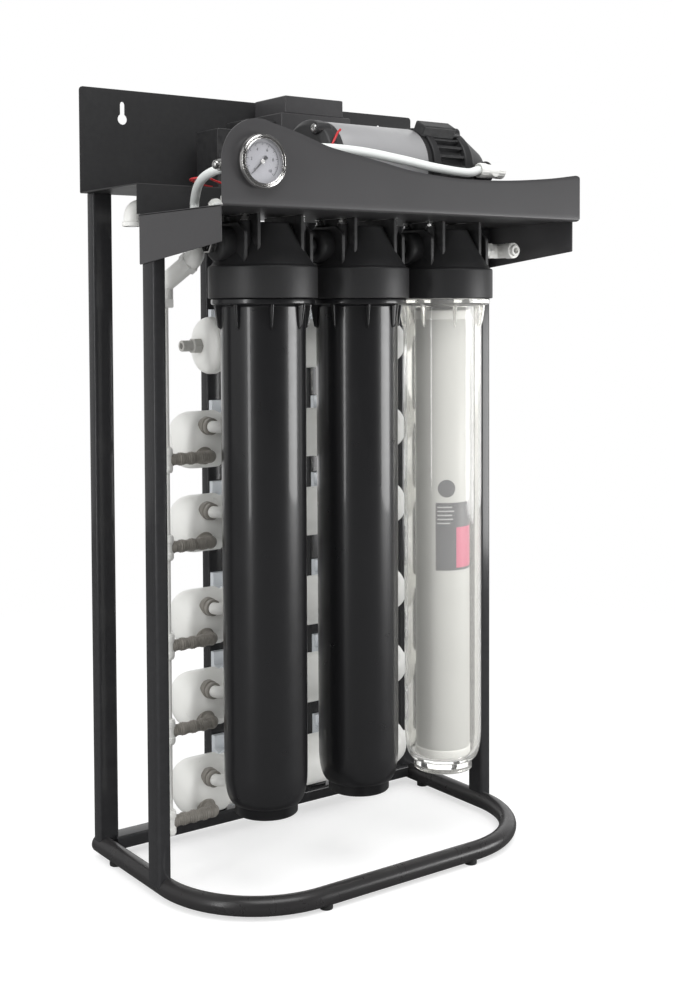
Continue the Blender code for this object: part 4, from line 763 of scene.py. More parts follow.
# Name, slot, colour, roughness, tone, gloss spread, grain scale and depth, edge light, dust
FINISHES = {
    "coat": Finish("powder_coat", "steel_coat", (0.045, 0.044, 0.046), 0.38, 0.035, 0.02,
                   1300, 0.10, 0.1, 0.01, grey(0.12)),
    # Painted shade: the back panel's coat is the tray's powder coat made darker and less shiny,
    # where the back panel lies in shade.
    "shaded_back_coat": Finish("shaded_back_coat", "steel_coat", (0.026, 0.026, 0.027), 0.46, 0.035, 0.02,
                        1300, 0.10, 0.05, 0.01, grey(0.12), specular=0.28),
    # Painted highlight: an almost even edge light (break 0.2) draws light lines along the frame
    # tubes' corners.
    "frame_coat": Finish("frame_coat", "steel_coat", (0.013, 0.013, 0.014), 0.13, 0.03, 0.02,
                         1200, 0.015, 0.5, 0.0, (0.12, 0.12, 0.124), 0.2, specular=0.35),
    "ring_coat": Finish("ring_coat", "steel_coat", (0.024, 0.023, 0.0235), 0.30, 0.05, 0.05,
                        1200, 0.02, 0.02, 0.02),
    "matte": Finish("matte_black_moulding", "black_plastic", (0.020, 0.020, 0.021), 0.46, 0.06,
                    0.02, 1500, 0.14, 0.25, 0.01, grey(0.14)),
    "gloss": Finish("gloss_black_moulding", "black_plastic", (0.009, 0.009, 0.010), 0.30, 0.06,
                    0.03, 420, 0.02, 0.2, 0.01, grey(0.14), coat=0.35, coat_roughness=0.05),
    "white": Finish("white_moulding", "white_plastic", (0.84, 0.84, 0.81), 0.34, 0.03, 0.08,
                    500, 0.06, 0.15, 0.04, (0.85, 0.85, 0.84)),
    "stub": Finish("stub_moulding", "white_plastic", (0.46, 0.455, 0.43), 0.34, 0.06, 0.08,
                   900, 0.015, 0.0, 0.03),
    "grey": Finish("grey_fitting", "grey_plastic", (0.235, 0.220, 0.195), 0.42, 0.08, 0.08,
                   800, 0.10, 0.2, 0.06, (0.45, 0.44, 0.42)),
    "clip": Finish("clip_moulding", "white_plastic", (0.62, 0.65, 0.68), 0.36, 0.03, 0.08,
                   500, 0.06, 0.1, 0.03, (0.80, 0.82, 0.84)),
    "tube": Finish("white_tube", "tube", (0.72, 0.745, 0.73), 0.38, 0.04, 0.08, 600, 0.05, 0.0,
                   0.03),
    "chrome": Finish("polished_steel", "steel", (0.72, 0.71, 0.70), 0.14, 0.04, 0.05, 700,
                     0.03, 0.1, 0.06, grey(0.9), metallic=1.0),
    "zinc": Finish("plated_screw", "steel", (0.55, 0.55, 0.54), 0.30, 0.12, 0.08, 1500, 0.15,
                   0.2, 0.06, grey(0.8), metallic=1.0),
    "rubber": Finish("black_rubber", "rubber", grey(0.018), 0.72, 0.15, 0.08, 1400, 0.25, 0.1),
    "silver_label": Finish("silver_label", "pump_case", (0.27, 0.27, 0.275), 0.40, 0.04, 0.08,
                           260, 0.03, 0.0, 0.02, coat=0.2),
    "dial": Finish("dial_paint", "dial", (0.40, 0.40, 0.43), 0.50, 0.05, 0.08, 3000, 0.05, 0.0,
                   0.0),
    "ink": Finish("dial_ink", "dial", (0.030, 0.030, 0.035), 0.55, 0.05, edge=0.0, dust=0.0),
    "needle": Finish("needle_paint", "needle", (0.035, 0.035, 0.04), 0.4, edge=0.2, dust=0.0),
    "red": Finish("red_lead", "black_plastic", (0.42, 0.014, 0.018), 0.34, 0.08, 0.08, 900,
                  0.04, 0.0, 0.02),
    "black": Finish("black_lead", "black_plastic", grey(0.016), 0.38, edge=0.0, dust=0.02),
    "membrane": Finish("membrane_film", "membrane", (0.62, 0.63, 0.62), 0.55, 0.05, 0.08, 350,
                       0.25, 0.0),
    "rotor": Finish("rotor_core", "rotor", (0.26, 0.24, 0.22), 0.45, grain_scale=1600,
                    grain_depth=0.2, metallic=0.8),
    "clear": ClearFinish("clear_moulding", "clear", (0.94, 0.935, 0.905), 0.06, 0.01, 0.02, 60,
                         0.03, 0.0, 0.0, specular=0.35, clearness=0.9),
    "lens": ClearFinish("gauge_lens", "lens", grey(0.97), 0.04, 0.01, 0.01, 60, 0.0, 0.0, 0.0,
                        ior=1.45),
    "fibre": Finish("filter_fibre", "cartridge", (0.74, 0.74, 0.71), 0.70, 0.03, 0.08, 260,
                    0.5, 0.0),
    "wrap": WrappedFinish("cartridge_wrap", "cartridge", (0.58, 0.58, 0.56), 0.42, 0.02, 0.08,
                          300, 0.08, 0.0, 0.0, patches=PATCHES),
}


def placed(name: str, data: bpy.types.ID) -> bpy.types.Object:
    """A new object that is linked to the scene.

    Args:
        name: Name of the object.
        data: Its mesh, curve, lamp or camera.

    Returns:
        The object.
    """
    item = bpy.data.objects.new(name, data)
    bpy.context.scene.collection.objects.link(item)
    return item


class Workshop:
    """Puts surfaces into meshes, dresses them and fastens them to the frame."""

    def __init__(self) -> None:
        """Makes the shared effects and the materials."""
        effects = Effects()
        self.materials = {key: finish.make(effects) for key, finish in FINISHES.items()}
        self.made = 0

    @staticmethod
    def rounded(item: bpy.types.Object, width: float, angle: float, harden: bool) -> None:
        """Rounds the sharp edges of a piece.

        Args:
            item: The piece.
            width: Width of the rounding.
            angle: Turn in degrees from which an edge is rounded.
            harden: True where the flat faces keep flat shading.
        """
        rounding = item.modifiers.new("rounding", "BEVEL")
        rounding.width, rounding.segments = width, 2
        rounding.limit_method, rounding.angle_limit = "ANGLE", math.radians(angle)
        rounding.harden_normals = harden

    def piece(self, name: str, shape: Shell | list[Shell], finish: str, body: str = "stand",
              replaces: str = "", bevel: float = 0.0, crease: float = 35.0) \
            -> bpy.types.Object:
        """One finished piece.

        Args:
            name: Name of the object.
            shape: Its surface or surfaces, in place.
            finish: Key of its finish.
            body: The CAD body it rides on.
            replaces: CAD node that it stands for, if any.
            bevel: Width of its rounded edges, or zero.
            crease: Angle in degrees from which an edge stays sharp.

        Returns:
            The object.
        """
        shell = shape if isinstance(shape, Shell) else join(shape)
        mesh = bpy.data.meshes.new(name)
        mesh.from_pydata(shell.points, [], [row for faces in shell.faces
                                            for row in faces.tolist()])
        mesh.materials.append(self.materials[finish])
        item = placed(name, mesh)
        mesh.shade_smooth()
        mesh.set_sharp_from_angle(angle=math.radians(crease))
        if bevel > 0:
            self.rounded(item, bevel, 40, True)
        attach(item, body)
        if replaces:
            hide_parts(replaces)
        self.made += 1
        return item

    def sheet(self, name: str, grid: Array, facing: Point, thickness: float, finish: str,
              replaces: str) -> None:
        """A folded sheet from a grid of points on its outer side.

        Args:
            name: Name of the object.
            grid: Rows and columns of points.
            facing: Direction that the first face looks to.
            thickness: Thickness of the sheet, laid inwards.
            finish: Key of its finish.
            replaces: CAD node that it stands for.
        """
        rows, columns = grid.shape[:2]
        low = np.arange(rows - 1)[:, None] * columns + np.arange(columns - 1)[None]
        faces = np.stack([low, low + 1, low + columns + 1, low + columns], -1).reshape(-1, 4)
        points = grid.reshape(-1, 3)
        first = points[faces[0]]
        if np.dot(np.cross(first[1] - first[0], first[2] - first[1]), facing) < 0:
            faces = faces[:, ::-1]
        item = self.piece(name, Shell(points, [faces]), finish, replaces=replaces)
        wall = item.modifiers.new("wall", "SOLIDIFY")
        wall.thickness, wall.offset = thickness, -1.0
        self.rounded(item, 0.0004, 60, False)

    def dress(self, node: str, finish: str) -> None:
        """Gives a CAD node that stays its finish.

        Args:
            node: Name of the node.
            finish: Key of its finish.
        """
        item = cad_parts[node]
        item.data.materials.clear()
        item.data.materials.append(self.materials[finish])


# Stand

@dataclass
class Stand:
    """Floor ring, cross bar, posts, uprights and feet."""

    tube_radius: float = 0.010
    half_span: float = 0.219
    ring_depth: float = 0.267
    ring_rear_depth: float = 0.001
    bend_radius: float = 0.115
    ring_height: float = 0.013
    bar_end: Point = (0.2087, 0.13975, 0.016)
    post_x: float = 0.2222
    post_depth: float = 0.144
    post_top: float = 0.7057
    rear_x: float = 0.215
    upright_x: float = 0.072
    upright_low: float = 0.0238
    rear_depth: float = 0.010
    rear_top: float = 0.7377
    half_wide: float = 0.012
    half_thin: float = 0.0075
    corner: float = 0.003

    def build(self, shop: Workshop) -> None:
        """Builds the frame's pieces."""
        self.ring(shop)
        self.posts(shop)

    def ring(self, shop: Workshop) -> None:
        """The bent round tube on its rubber feet, and the flat cross bar."""
        span, height = self.half_span, self.ring_height
        front, rear = at_depth(self.ring_depth), at_depth(self.ring_rear_depth)
        corners = [(-span, rear, height), (-span, front, height), (span, front, height),
                   (span, rear, height)]
        shop.piece("floor_ring", carry(fillet(corners, self.bend_radius, 28),
                                       circle(self.tube_radius, 40)),
                   "ring_coat", replaces="base_ring", crease=50)
        spots = [(side * x, y, 0.0) for side in (-1, 1)
                 for x, y in ((0.098, front), (span, at_depth(0.040)))]
        shop.piece("ring_feet", spread(sleeve(0, 7, 0, 6, 0.9, steps=5), spots), "rubber")
        x, y, z = self.bar_end
        bar = carry([(-x, y, z), (x, y, z)],
                    box_section(self.half_wide, self.half_thin, self.corner), normal=UP)
        shop.piece("cross_bar", bar, "frame_coat", replaces="rear_crossbar", bevel=0.0006)

    def posts(self, shop: Workshop) -> None:
        """Four posts and two uprights, each a rounded box tube."""
        along, across = (self.half_thin, self.half_wide), (self.half_wide, self.half_thin)
        rear = at_depth(self.rear_depth)
        for kind, x, y, halves, low, high in (
                ("post_front", self.post_x, at_depth(self.post_depth), along, self.ring_height,
                 self.post_top),
                ("post_rear", self.rear_x, rear, across, self.ring_height, self.rear_top),
                ("upright", self.upright_x, rear, across, self.upright_low, self.rear_top)):
            for hand in Hand:
                spot, node = hand.value * x, f"{kind}_{hand.name.lower()}"
                shop.piece(f"tube_{node}", carry([(spot, y, low), (spot, y, high)],
                                                 box_section(*halves, self.corner),
                                                 normal=BACK),
                           "frame_coat", replaces=node, bevel=0.0005)


# Folded sheet

@dataclass
class SheetWork:
    """The tray with its shaped front and flanges. The back panel keeps its CAD shape."""

    thickness: float = 0.0015
    tray_z: float = 0.706
    rear_depth: float = 0.1295
    front_depth: float = 0.2975
    half_width: float = 0.2345
    floor_half_width: float = 0.2315
    bend: float = 0.0032
    hump_x: float = -0.1935
    hump_rise: float = 0.0425
    hump_radius: float = 0.0405
    low_rise: float = 0.0390
    wave: tuple[tuple[float, float], ...] = (
        (0.104, 0.772), (0.181, 0.541), (0.222, 0.457), (0.337, 0.273), (0.422, 0.126),
        (0.508, 0.041), (0.600, 0.0), (0.735, 0.028), (0.88, 0.140), (0.985, 0.272))
    corner: float = 0.003

    def build(self, shop: Workshop) -> None:
        """Builds the sheet pieces."""
        self.tray(shop)
        self.flanges(shop)
        # Painted shade: the back panel gets the darker copy of the tray's coat.
        shop.dress("back_panel", "shaded_back_coat")

    def crest(self) -> Array:
        """The top line of the front: an arc for the hump, then a falling wave.

        Returns:
            X and Z pairs from the left edge to the right.
        """
        angle = quarter(40, 0, 112)
        arc = np.stack([self.hump_x - self.hump_radius * np.cos(angle)
                        - (0.0005 * (1 + np.cos(2 * angle)) / 2),
                        self.tray_z + self.hump_rise + self.hump_radius * np.sin(angle)], 1)
        span = self.half_width - self.hump_x
        rise = self.hump_rise + self.hump_radius - self.low_rise
        guides = np.array(self.wave) * (span, rise) + (self.hump_x, self.tray_z + self.low_rise)
        wave = spline(np.vstack([arc[-1:], guides]), 7)[1:]
        turn = quarter(7)[1:]
        last = wave[-1]
        edge = np.stack([last[0] + (self.half_width - last[0]) * np.sin(turn),
                         last[1] - self.corner * (1 - np.cos(turn))], 1)
        return np.vstack([arc, wave, edge])

    def tray(self, shop: Workshop) -> None:
        """The floor, its front bend and the front panel, as one grid.

        Columns run along X. Rows run forward over the floor, round the bend and up to the
        crest above each column.

        Args:
            shop: The workshop.
        """
        crest = self.crest()
        front, flat, turn = at_depth(self.front_depth), 11, quarter(7)
        ratio = self.floor_half_width / self.half_width
        floor_y = np.concatenate([
            np.linspace(at_depth(self.rear_depth), front + self.bend, flat + 1)[:-1],
            front + self.bend * (1 - np.sin(turn))])
        floor_z = self.tray_z + self.bend * np.concatenate([np.zeros(flat), 1 - np.cos(turn)])
        wide = np.concatenate([np.full(flat, ratio), np.linspace(ratio, 1, len(turn))])
        share = np.linspace(0, 1, 12)[1:, None]
        start, count = self.tray_z + self.bend, len(floor_y)
        grid = np.zeros((count + len(share), len(crest), 3))
        grid[:count, :, 0] = wide[:, None] * crest[None, :, 0]
        grid[:count, :, 1] = floor_y[:, None]
        grid[:count, :, 2] = floor_z[:, None]
        grid[count:, :, 0] = crest[None, :, 0]
        grid[count:, :, 1] = front
        grid[count:, :, 2] = start + share * (crest[None, :, 1] - start)
        shop.sheet("tray_sheet", grid, (0, 0, -1), self.thickness, "coat", "tray")

    def flanges(self, shop: Workshop) -> None:
        """The two side flanges that hang from the tray."""
        rear, front, top = at_depth(0.131), at_depth(0.2895), 0.7072
        outline = fillet([(rear, top), (rear, 0.656), (front, 0.673), (front, top)],
                         (0.0005, 0.0015, 0.0015, 0.0005), 4, True)
        for hand in Hand:
            levels = sorted(hand.value * half for half in (
                self.floor_half_width, self.floor_half_width - self.thickness))
            shop.piece(f"flange_{hand.name.lower()}", slab(outline, *levels, Plane.SIDE),
                       "coat", bevel=0.0004)


# Filter housings

@dataclass
class Housings:
    """Three heads under the tray, their bowls, seals and cartridges."""

    centres: tuple[float, ...] = (-0.126, -0.005, 0.116)
    names: tuple[str, ...] = ("left", "middle", "right")
    y: float = -0.04725
    skirt_z: float = 0.621
    port_rise: float = 0.055
    bowl_z: float = 0.088
    seal_z: float = 0.6481
    cap_heights: tuple[float, float] = (0.1043, 0.5973)
    bolts: tuple[Point, ...] = tuple((x, y, 0.0) for x in (-0.034, 0.034)
                                     for y in (-0.020, 0.020))
    sides: int = 96

    def build(self, shop: Workshop) -> None:
        """Builds the three housings, of which the right one is clear."""
        for name, x in zip(self.names, self.centres):
            place = (x, self.y, self.skirt_z)
            clear = name == "right"
            self.head(shop, name, place)
            self.screws(shop, name, place)
            self.bowl(shop, name, (x, self.y, self.bowl_z), "clear" if clear else "gloss")
            self.insides(shop, name, (x, self.y), "wrap" if clear else "fibre")

    def head(self, shop: Workshop, name: str, place: Point) -> None:
        """Skirt and dome, the ports, the four ribs and the screw bosses of one head.

        Args:
            shop: The workshop.
            name: Which housing.
            place: World place of the skirt's lower middle.
        """
        shell = turned([(0, -23), (13.2, -23), (13.2, 29), (50, 29), (50, 0), (56.5, 0),
                        (56.5, 32.2), (53, 34), (41.5, 52), (30.5, 72.5), (28.5, 77), (0, 77)],
                       (0, 1, 2, 2, 1, 1.2, 2.2, 4, 30, 15, 3, 0), place, sides=self.sides)
        shop.piece(f"head_shell_{name}", shell, "matte", replaces=f"head_{name}", crease=50)
        middle = (place[0], place[1], place[2] + self.port_rise)
        ports = [turned([(0, -37), (7, -37), (7, -59), (18, -59), (18, -36), (14.2, -34),
                         (14.2, -10), (0, -10)], (0, 0, 1.2, 4.5, 3, 2, 1, 0), middle, RIGHT),
                 turned([(0, 10), (13.5, 10), (13.5, 42.5), (10, 47.5), (10, 61.7),
                         (6.6, 61.7), (6.6, 75.7), (0, 75.7)],
                        (0, 0, 3, 3, 2.5, 0.6, 0.8, 0), middle, RIGHT, 48)]
        shop.piece(f"head_ports_{name}", ports, "matte", crease=40)
        inner = bent([(-34, 30), (34, 30), (34, 84.7), (-34, 84.7)], 1, 3, True)
        outer = bent([(-30.5, 30), (30.5, 30), (30.5, 67), (18.3, 76), (-18.3, 76),
                      (-30.5, 67)], 5, 5, True)
        ribs = [slab(shape, side * x - 0.0021, side * x + 0.0021, Plane.SIDE)
                for side in (-1, 1) for shape, x in ((inner, 0.0265), (outer, 0.040))]
        shop.piece(f"head_ribs_{name}", join(ribs).moved(place), "matte", bevel=0.0007)
        boss = turned([(0, 30), (6.2, 30), (5.5, 78), (0, 78)], 0.8, sides=28)
        shop.piece(f"head_bosses_{name}", spread(boss, self.bolts).moved(place), "matte")

    def screws(self, shop: Workshop, name: str, place: Point) -> None:
        """Four bolts with washers, nuts and threads, above and below the tray.

        Args:
            shop: The workshop.
            name: Which housing.
            place: World place of the skirt's lower middle.
        """
        rise = np.linspace(0.0775, 0.0850, 61)
        teeth = np.vstack([[(0, rise[0])], thread(rise, 0.0021, 0.00025, 0.0007),
                           [(0, rise[-1])]])
        lower, upper = (sleeve(1.8, 5, low, low + 1, 0.3, sides=28, steps=2)
                        for low in (78.1, 83.6))
        top = turned([(0, 86.8), (4.2, 86.8), (4, 89), (2.8, 89.4), (0, 89.4)], 0.5, sides=28,
                     steps=3)
        stack = [lathe(teeth, sides=20), lower, nut(4.2, 3, 1.8, lift=79.1), upper, top]
        shop.piece(f"bolts_{name}", spread(join(stack), self.bolts).moved(place), "zinc",
                   crease=25)

    def bowl(self, shop: Workshop, name: str, place: Point, finish: str) -> None:
        """One bowl: base ring, shoulder, wall, collar, neck and eight wedges.

        Args:
            shop: The workshop.
            name: Which housing.
            place: World place of the middle of its underside.
            finish: Key of the finish.
        """
        bend, back = quarter(15), quarter(10, 90, 0)
        foot = [(0, 5), (25.5, 5), (27.5, 0.4), (28.5, 0), (32.2, 0), (33, 0.8), (33, 10.5)]
        shoulder = np.stack([33.5 + 9.9 * np.sin(bend) ** 0.9, 11 + 33 * (1 - np.cos(bend))], 1)
        collar = bent([(44, 523.5), (44.2, 524.9), (53.5, 527.1), (53.5, 532.7), (49, 532.9),
                       (49, 558.2), (44.5, 558.2), (44.5, 527.1), (41, 515.1)],
                      (0, 1.2, 1.4, 1.4, 0.4, 0.8, 0.8, 1, 0))
        inside = np.stack([32.5 + 7.9 * np.sin(back), 16 + 28 * (1 - np.cos(back))], 1)
        base = [(12.8, 16), (12.8, 22), (10, 22), (10, 16), (0, 16)]
        profile = np.vstack([foot, shoulder, 1000 * collar, inside, base]) / 1000
        shop.piece(f"bowl_shell_{name}", lathe(profile, place, sides=self.sides), finish,
                   f"bowl_{name}", f"bowl_{name}", crease=50)
        ribs = [self.wedge().spun(-2 * math.pi * (step + 0.5) / 8, 2) for step in range(8)]
        shop.piece(f"bowl_wedges_{name}", join(ribs).moved(place), finish, f"bowl_{name}",
                   crease=50)

    @staticmethod
    def wedge() -> Shell:
        """One rib below the collar, wide above and pointed below.

        Its cross-section is a rounded ridge. The ridge's width and reach grow with a power
        of the distance from its lower tip.

        Returns:
            The rib on a bowl that stands at the origin.
        """
        rows, wall = 14, 0.0432
        share = np.linspace(0, 1, rows)[:, None]
        across = np.linspace(-1, 1, 9)[None]
        half = 0.0007 + 0.0015 * share ** 0.7
        reach = wall + 0.0082 * np.minimum(1.0, 0.42 + 0.58 * share ** 0.8)
        reach = np.where(share == 0, 0.0440, reach)
        crown = wall + (reach - wall) * (1 - np.abs(across) ** 5)
        grid = np.stack([crown, half * across, 0.5015 + 0.0265 * share + 0 * across], -1)
        back = grid[:, ::-1].copy()
        back[..., 0] = 0.0425
        points = np.concatenate([grid, back], 1).reshape(-1, 3)
        count = len(points) // rows
        low, high = np.arange(count)[::-1][None], (np.arange(count) + (rows - 1) * count)[None]
        return Shell(points, [ring_faces(rows, count, False), low, high]).outward()

    def insides(self, shop: Workshop, name: str, spot: tuple[float, float], wrap: str) -> None:
        """The cartridge with its end caps, and the seal ring.

        Args:
            shop: The workshop.
            name: Which housing.
            spot: World X and Y of the axis.
            wrap: Key of the cartridge's finish.
        """
        bowl, low = f"bowl_{name}", self.cap_heights[0]
        shop.piece(f"cartridge_body_{name}",
                   sleeve(15, 30.5, 9, 494, 0.6, (*spot, low), sides=72, steps=2), wrap, bowl,
                   f"cartridge_{name}")
        caps = [sleeve(14.6, 31.5, 0, 10, 1.4, (*spot, height), sides=72)
                for height in self.cap_heights]
        shop.piece(f"cartridge_caps_{name}", caps, "white", bowl)
        shop.piece(f"seal_ring_{name}", lathe(circle(0.0016, 16) + (0.0471, 0),
                                              (*spot, self.seal_z)),
                   "rubber", f"thread_{name}", f"seal_{name}")


# Pressure gauge

@dataclass
class Gauge:
    """Case, double bezel, dial with its scale, needle and lens."""

    place: Point = (-0.192, -0.14475, 0.7485)
    screw_x: float = -0.2030
    screw_y: float = -0.1000
    dial_y: float = -0.14735
    number_reach: float = 0.0122
    start_angle: float = math.radians(225)
    sweep: float = math.radians(270)

    def build(self, shop: Workshop) -> None:
        """Builds the gauge."""
        rim = turned([(23, -0.3), (26, -0.3), (26.2, -4.5), (24.9, -7.9), (23.6, -7.9),
                      (22.9, -6.4), (22.2, -6.4), (21.8, -7.7), (20.9, -7.7), (20.7, -6),
                      (23, -6)], (0.2, 0.8, 2, 1, 1, 0.4, 0.4, 0.8, 0.8, 0.4, 0.4),
                     self.place, BACK, 96, 6)
        shop.piece("bezel", rim, "chrome", replaces="gauge_bezel", crease=60)
        case = turned([(22, -1.5), (22.8, -1.5), (22.8, 28), (6, 28), (6, 40), (2.4, 40),
                       (2.4, 27), (22, 27)], (0.2, 0.2, 3, 1, 0.5, 0.2, 0.2, 0.5), self.place,
                      BACK, 72)
        shop.piece("gauge_body", [case, nut(9.5, 10, 5, self.place, BACK, lift=40)], "zinc",
                   replaces="gauge_case", crease=28)
        self.bleed_screw(shop)
        disc = turned([(1.1, -1.8), (22.7, -1.8), (22.7, -2.6), (1.1, -2.6)], 0.2, self.place,
                      BACK, 72, 2)
        shop.piece("dial_plate", disc, "dial", replaces="gauge_dial", crease=15)
        shop.piece("lens_glass", sleeve(0, 22.6, -5.7, -4.5, 0.3, self.place, BACK, 72), "lens",
                   replaces="gauge_lens", crease=15)
        self.scale(shop)
        self.needle(shop)

    def bleed_screw(self, shop: Workshop) -> None:
        """The bleed screw behind the panel, knurled and with a round end."""
        body = [(0, 0), *((0.0056, rise) for rise in np.linspace(0, 0.0075, 22)), (0, 0.0075)]
        end = quarter(10, 90, 0)
        ball = np.stack([0.0044 * np.sin(end), 0.0105 + 0.0040 * np.cos(end)], 1)
        stem = np.vstack([[(0, -0.004), (0.0036, -0.004), (0.0036, 0.0085)], ball])
        place = (self.screw_x, self.screw_y, self.place[2])
        shop.piece("bleed_screw", [
            lathe(body, place, LEFT, 72, lambda angle: 0.05 * np.cos(18 * angle)),
            lathe(stem, place, LEFT, 32)], "zinc", crease=40)

    def scale(self, shop: Workshop) -> None:
        """Tick marks on an arc and the numbers of the main ones.

        Tick k stands at the start angle less k parts of the sweep. Each is a thin bar
        from an inner to an outer radius.

        Args:
            shop: The workshop.
        """
        bars = []
        for step in range(51):
            inner, half = (0.0152, 0.00022) if step % 5 == 0 else (0.0166, 0.00012)
            bar = slab([(inner, -half), (0.0180, -half), (0.0180, half), (inner, half)],
                       self.dial_y - 0.00012, self.dial_y + 0.0002, Plane.FRONT)
            bars.append(bar.spun(self.sweep * step / 50 - self.start_angle, 1))
        arc = np.linspace(self.start_angle, self.start_angle - self.sweep, 80)
        line = np.stack([0.0181 * np.cos(arc), np.full(80, self.dial_y), 0.0181 * np.sin(arc)], 1)
        bars.append(carry(line, np.array([(-1, -1), (1, -1), (1, 1), (-1, 1)]) * 0.00012,
                          normal=BACK))
        shop.piece("dial_marks", join(bars).moved((self.place[0], 0, self.place[2])), "ink")
        for step in range(0, 11, 2):
            self.number(shop, str(step), self.start_angle - self.sweep * step / 10)

    def number(self, shop: Workshop, text: str, angle: float) -> None:
        """One number of the scale, as a flat mesh in front of the dial.

        Args:
            shop: The workshop.
            text: The digits.
            angle: Its place on the scale.
        """
        curve = bpy.data.curves.new("digits", "FONT")
        curve.body, curve.size, curve.extrude = text, 0.0042, 0.00008
        curve.align_x, curve.align_y = "CENTER", "CENTER"
        drawn = placed("digits", curve)
        bpy.context.view_layer.update()
        mesh = bpy.data.meshes.new_from_object(
            drawn.evaluated_get(bpy.context.evaluated_depsgraph_get()))
        bpy.data.objects.remove(drawn)
        flat = np.zeros(len(mesh.vertices) * 3)
        mesh.vertices.foreach_get("co", flat)
        flat = flat.reshape(-1, 3)
        x, _, z = self.place
        upright = np.stack([x + self.number_reach * math.cos(angle) + flat[:, 0],
                            self.dial_y - 0.0001 - flat[:, 2],
                            z + self.number_reach * math.sin(angle) + flat[:, 1]], 1)
        mesh.vertices.foreach_set("co", upright.ravel())
        mesh.materials.clear()
        mesh.materials.append(shop.materials["ink"])
        item = placed(f"dial_number_{text}", mesh)
        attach(item, "stand")

    def needle(self, shop: Workshop) -> None:
        """The pointer with its tail, and the bright hub."""
        half = [(16.5, 0.22), (0, 0.9), (-3, 0.9), (-4.6, 1.9), (-6.6, 1.7)]
        outline = bent(half + [(x, -z) for x, z in half[::-1]], 0.2, 2, True)
        x, y, z = self.place
        hand = slab(outline, y - 0.0039, y - 0.0034, Plane.FRONT)
        shop.piece("pointer", hand.spun(-self.start_angle, 1).moved((x, 0, z)), "needle",
                   "needle", "gauge_needle")
        hub = turned([(0, -4.2), (2.2, -4.2), (2.4, -3.2), (0, -3.2)], 0.5, self.place, BACK, 32,
                     4)
        shop.piece("pointer_hub", hub, "chrome", "needle")


# Booster pump

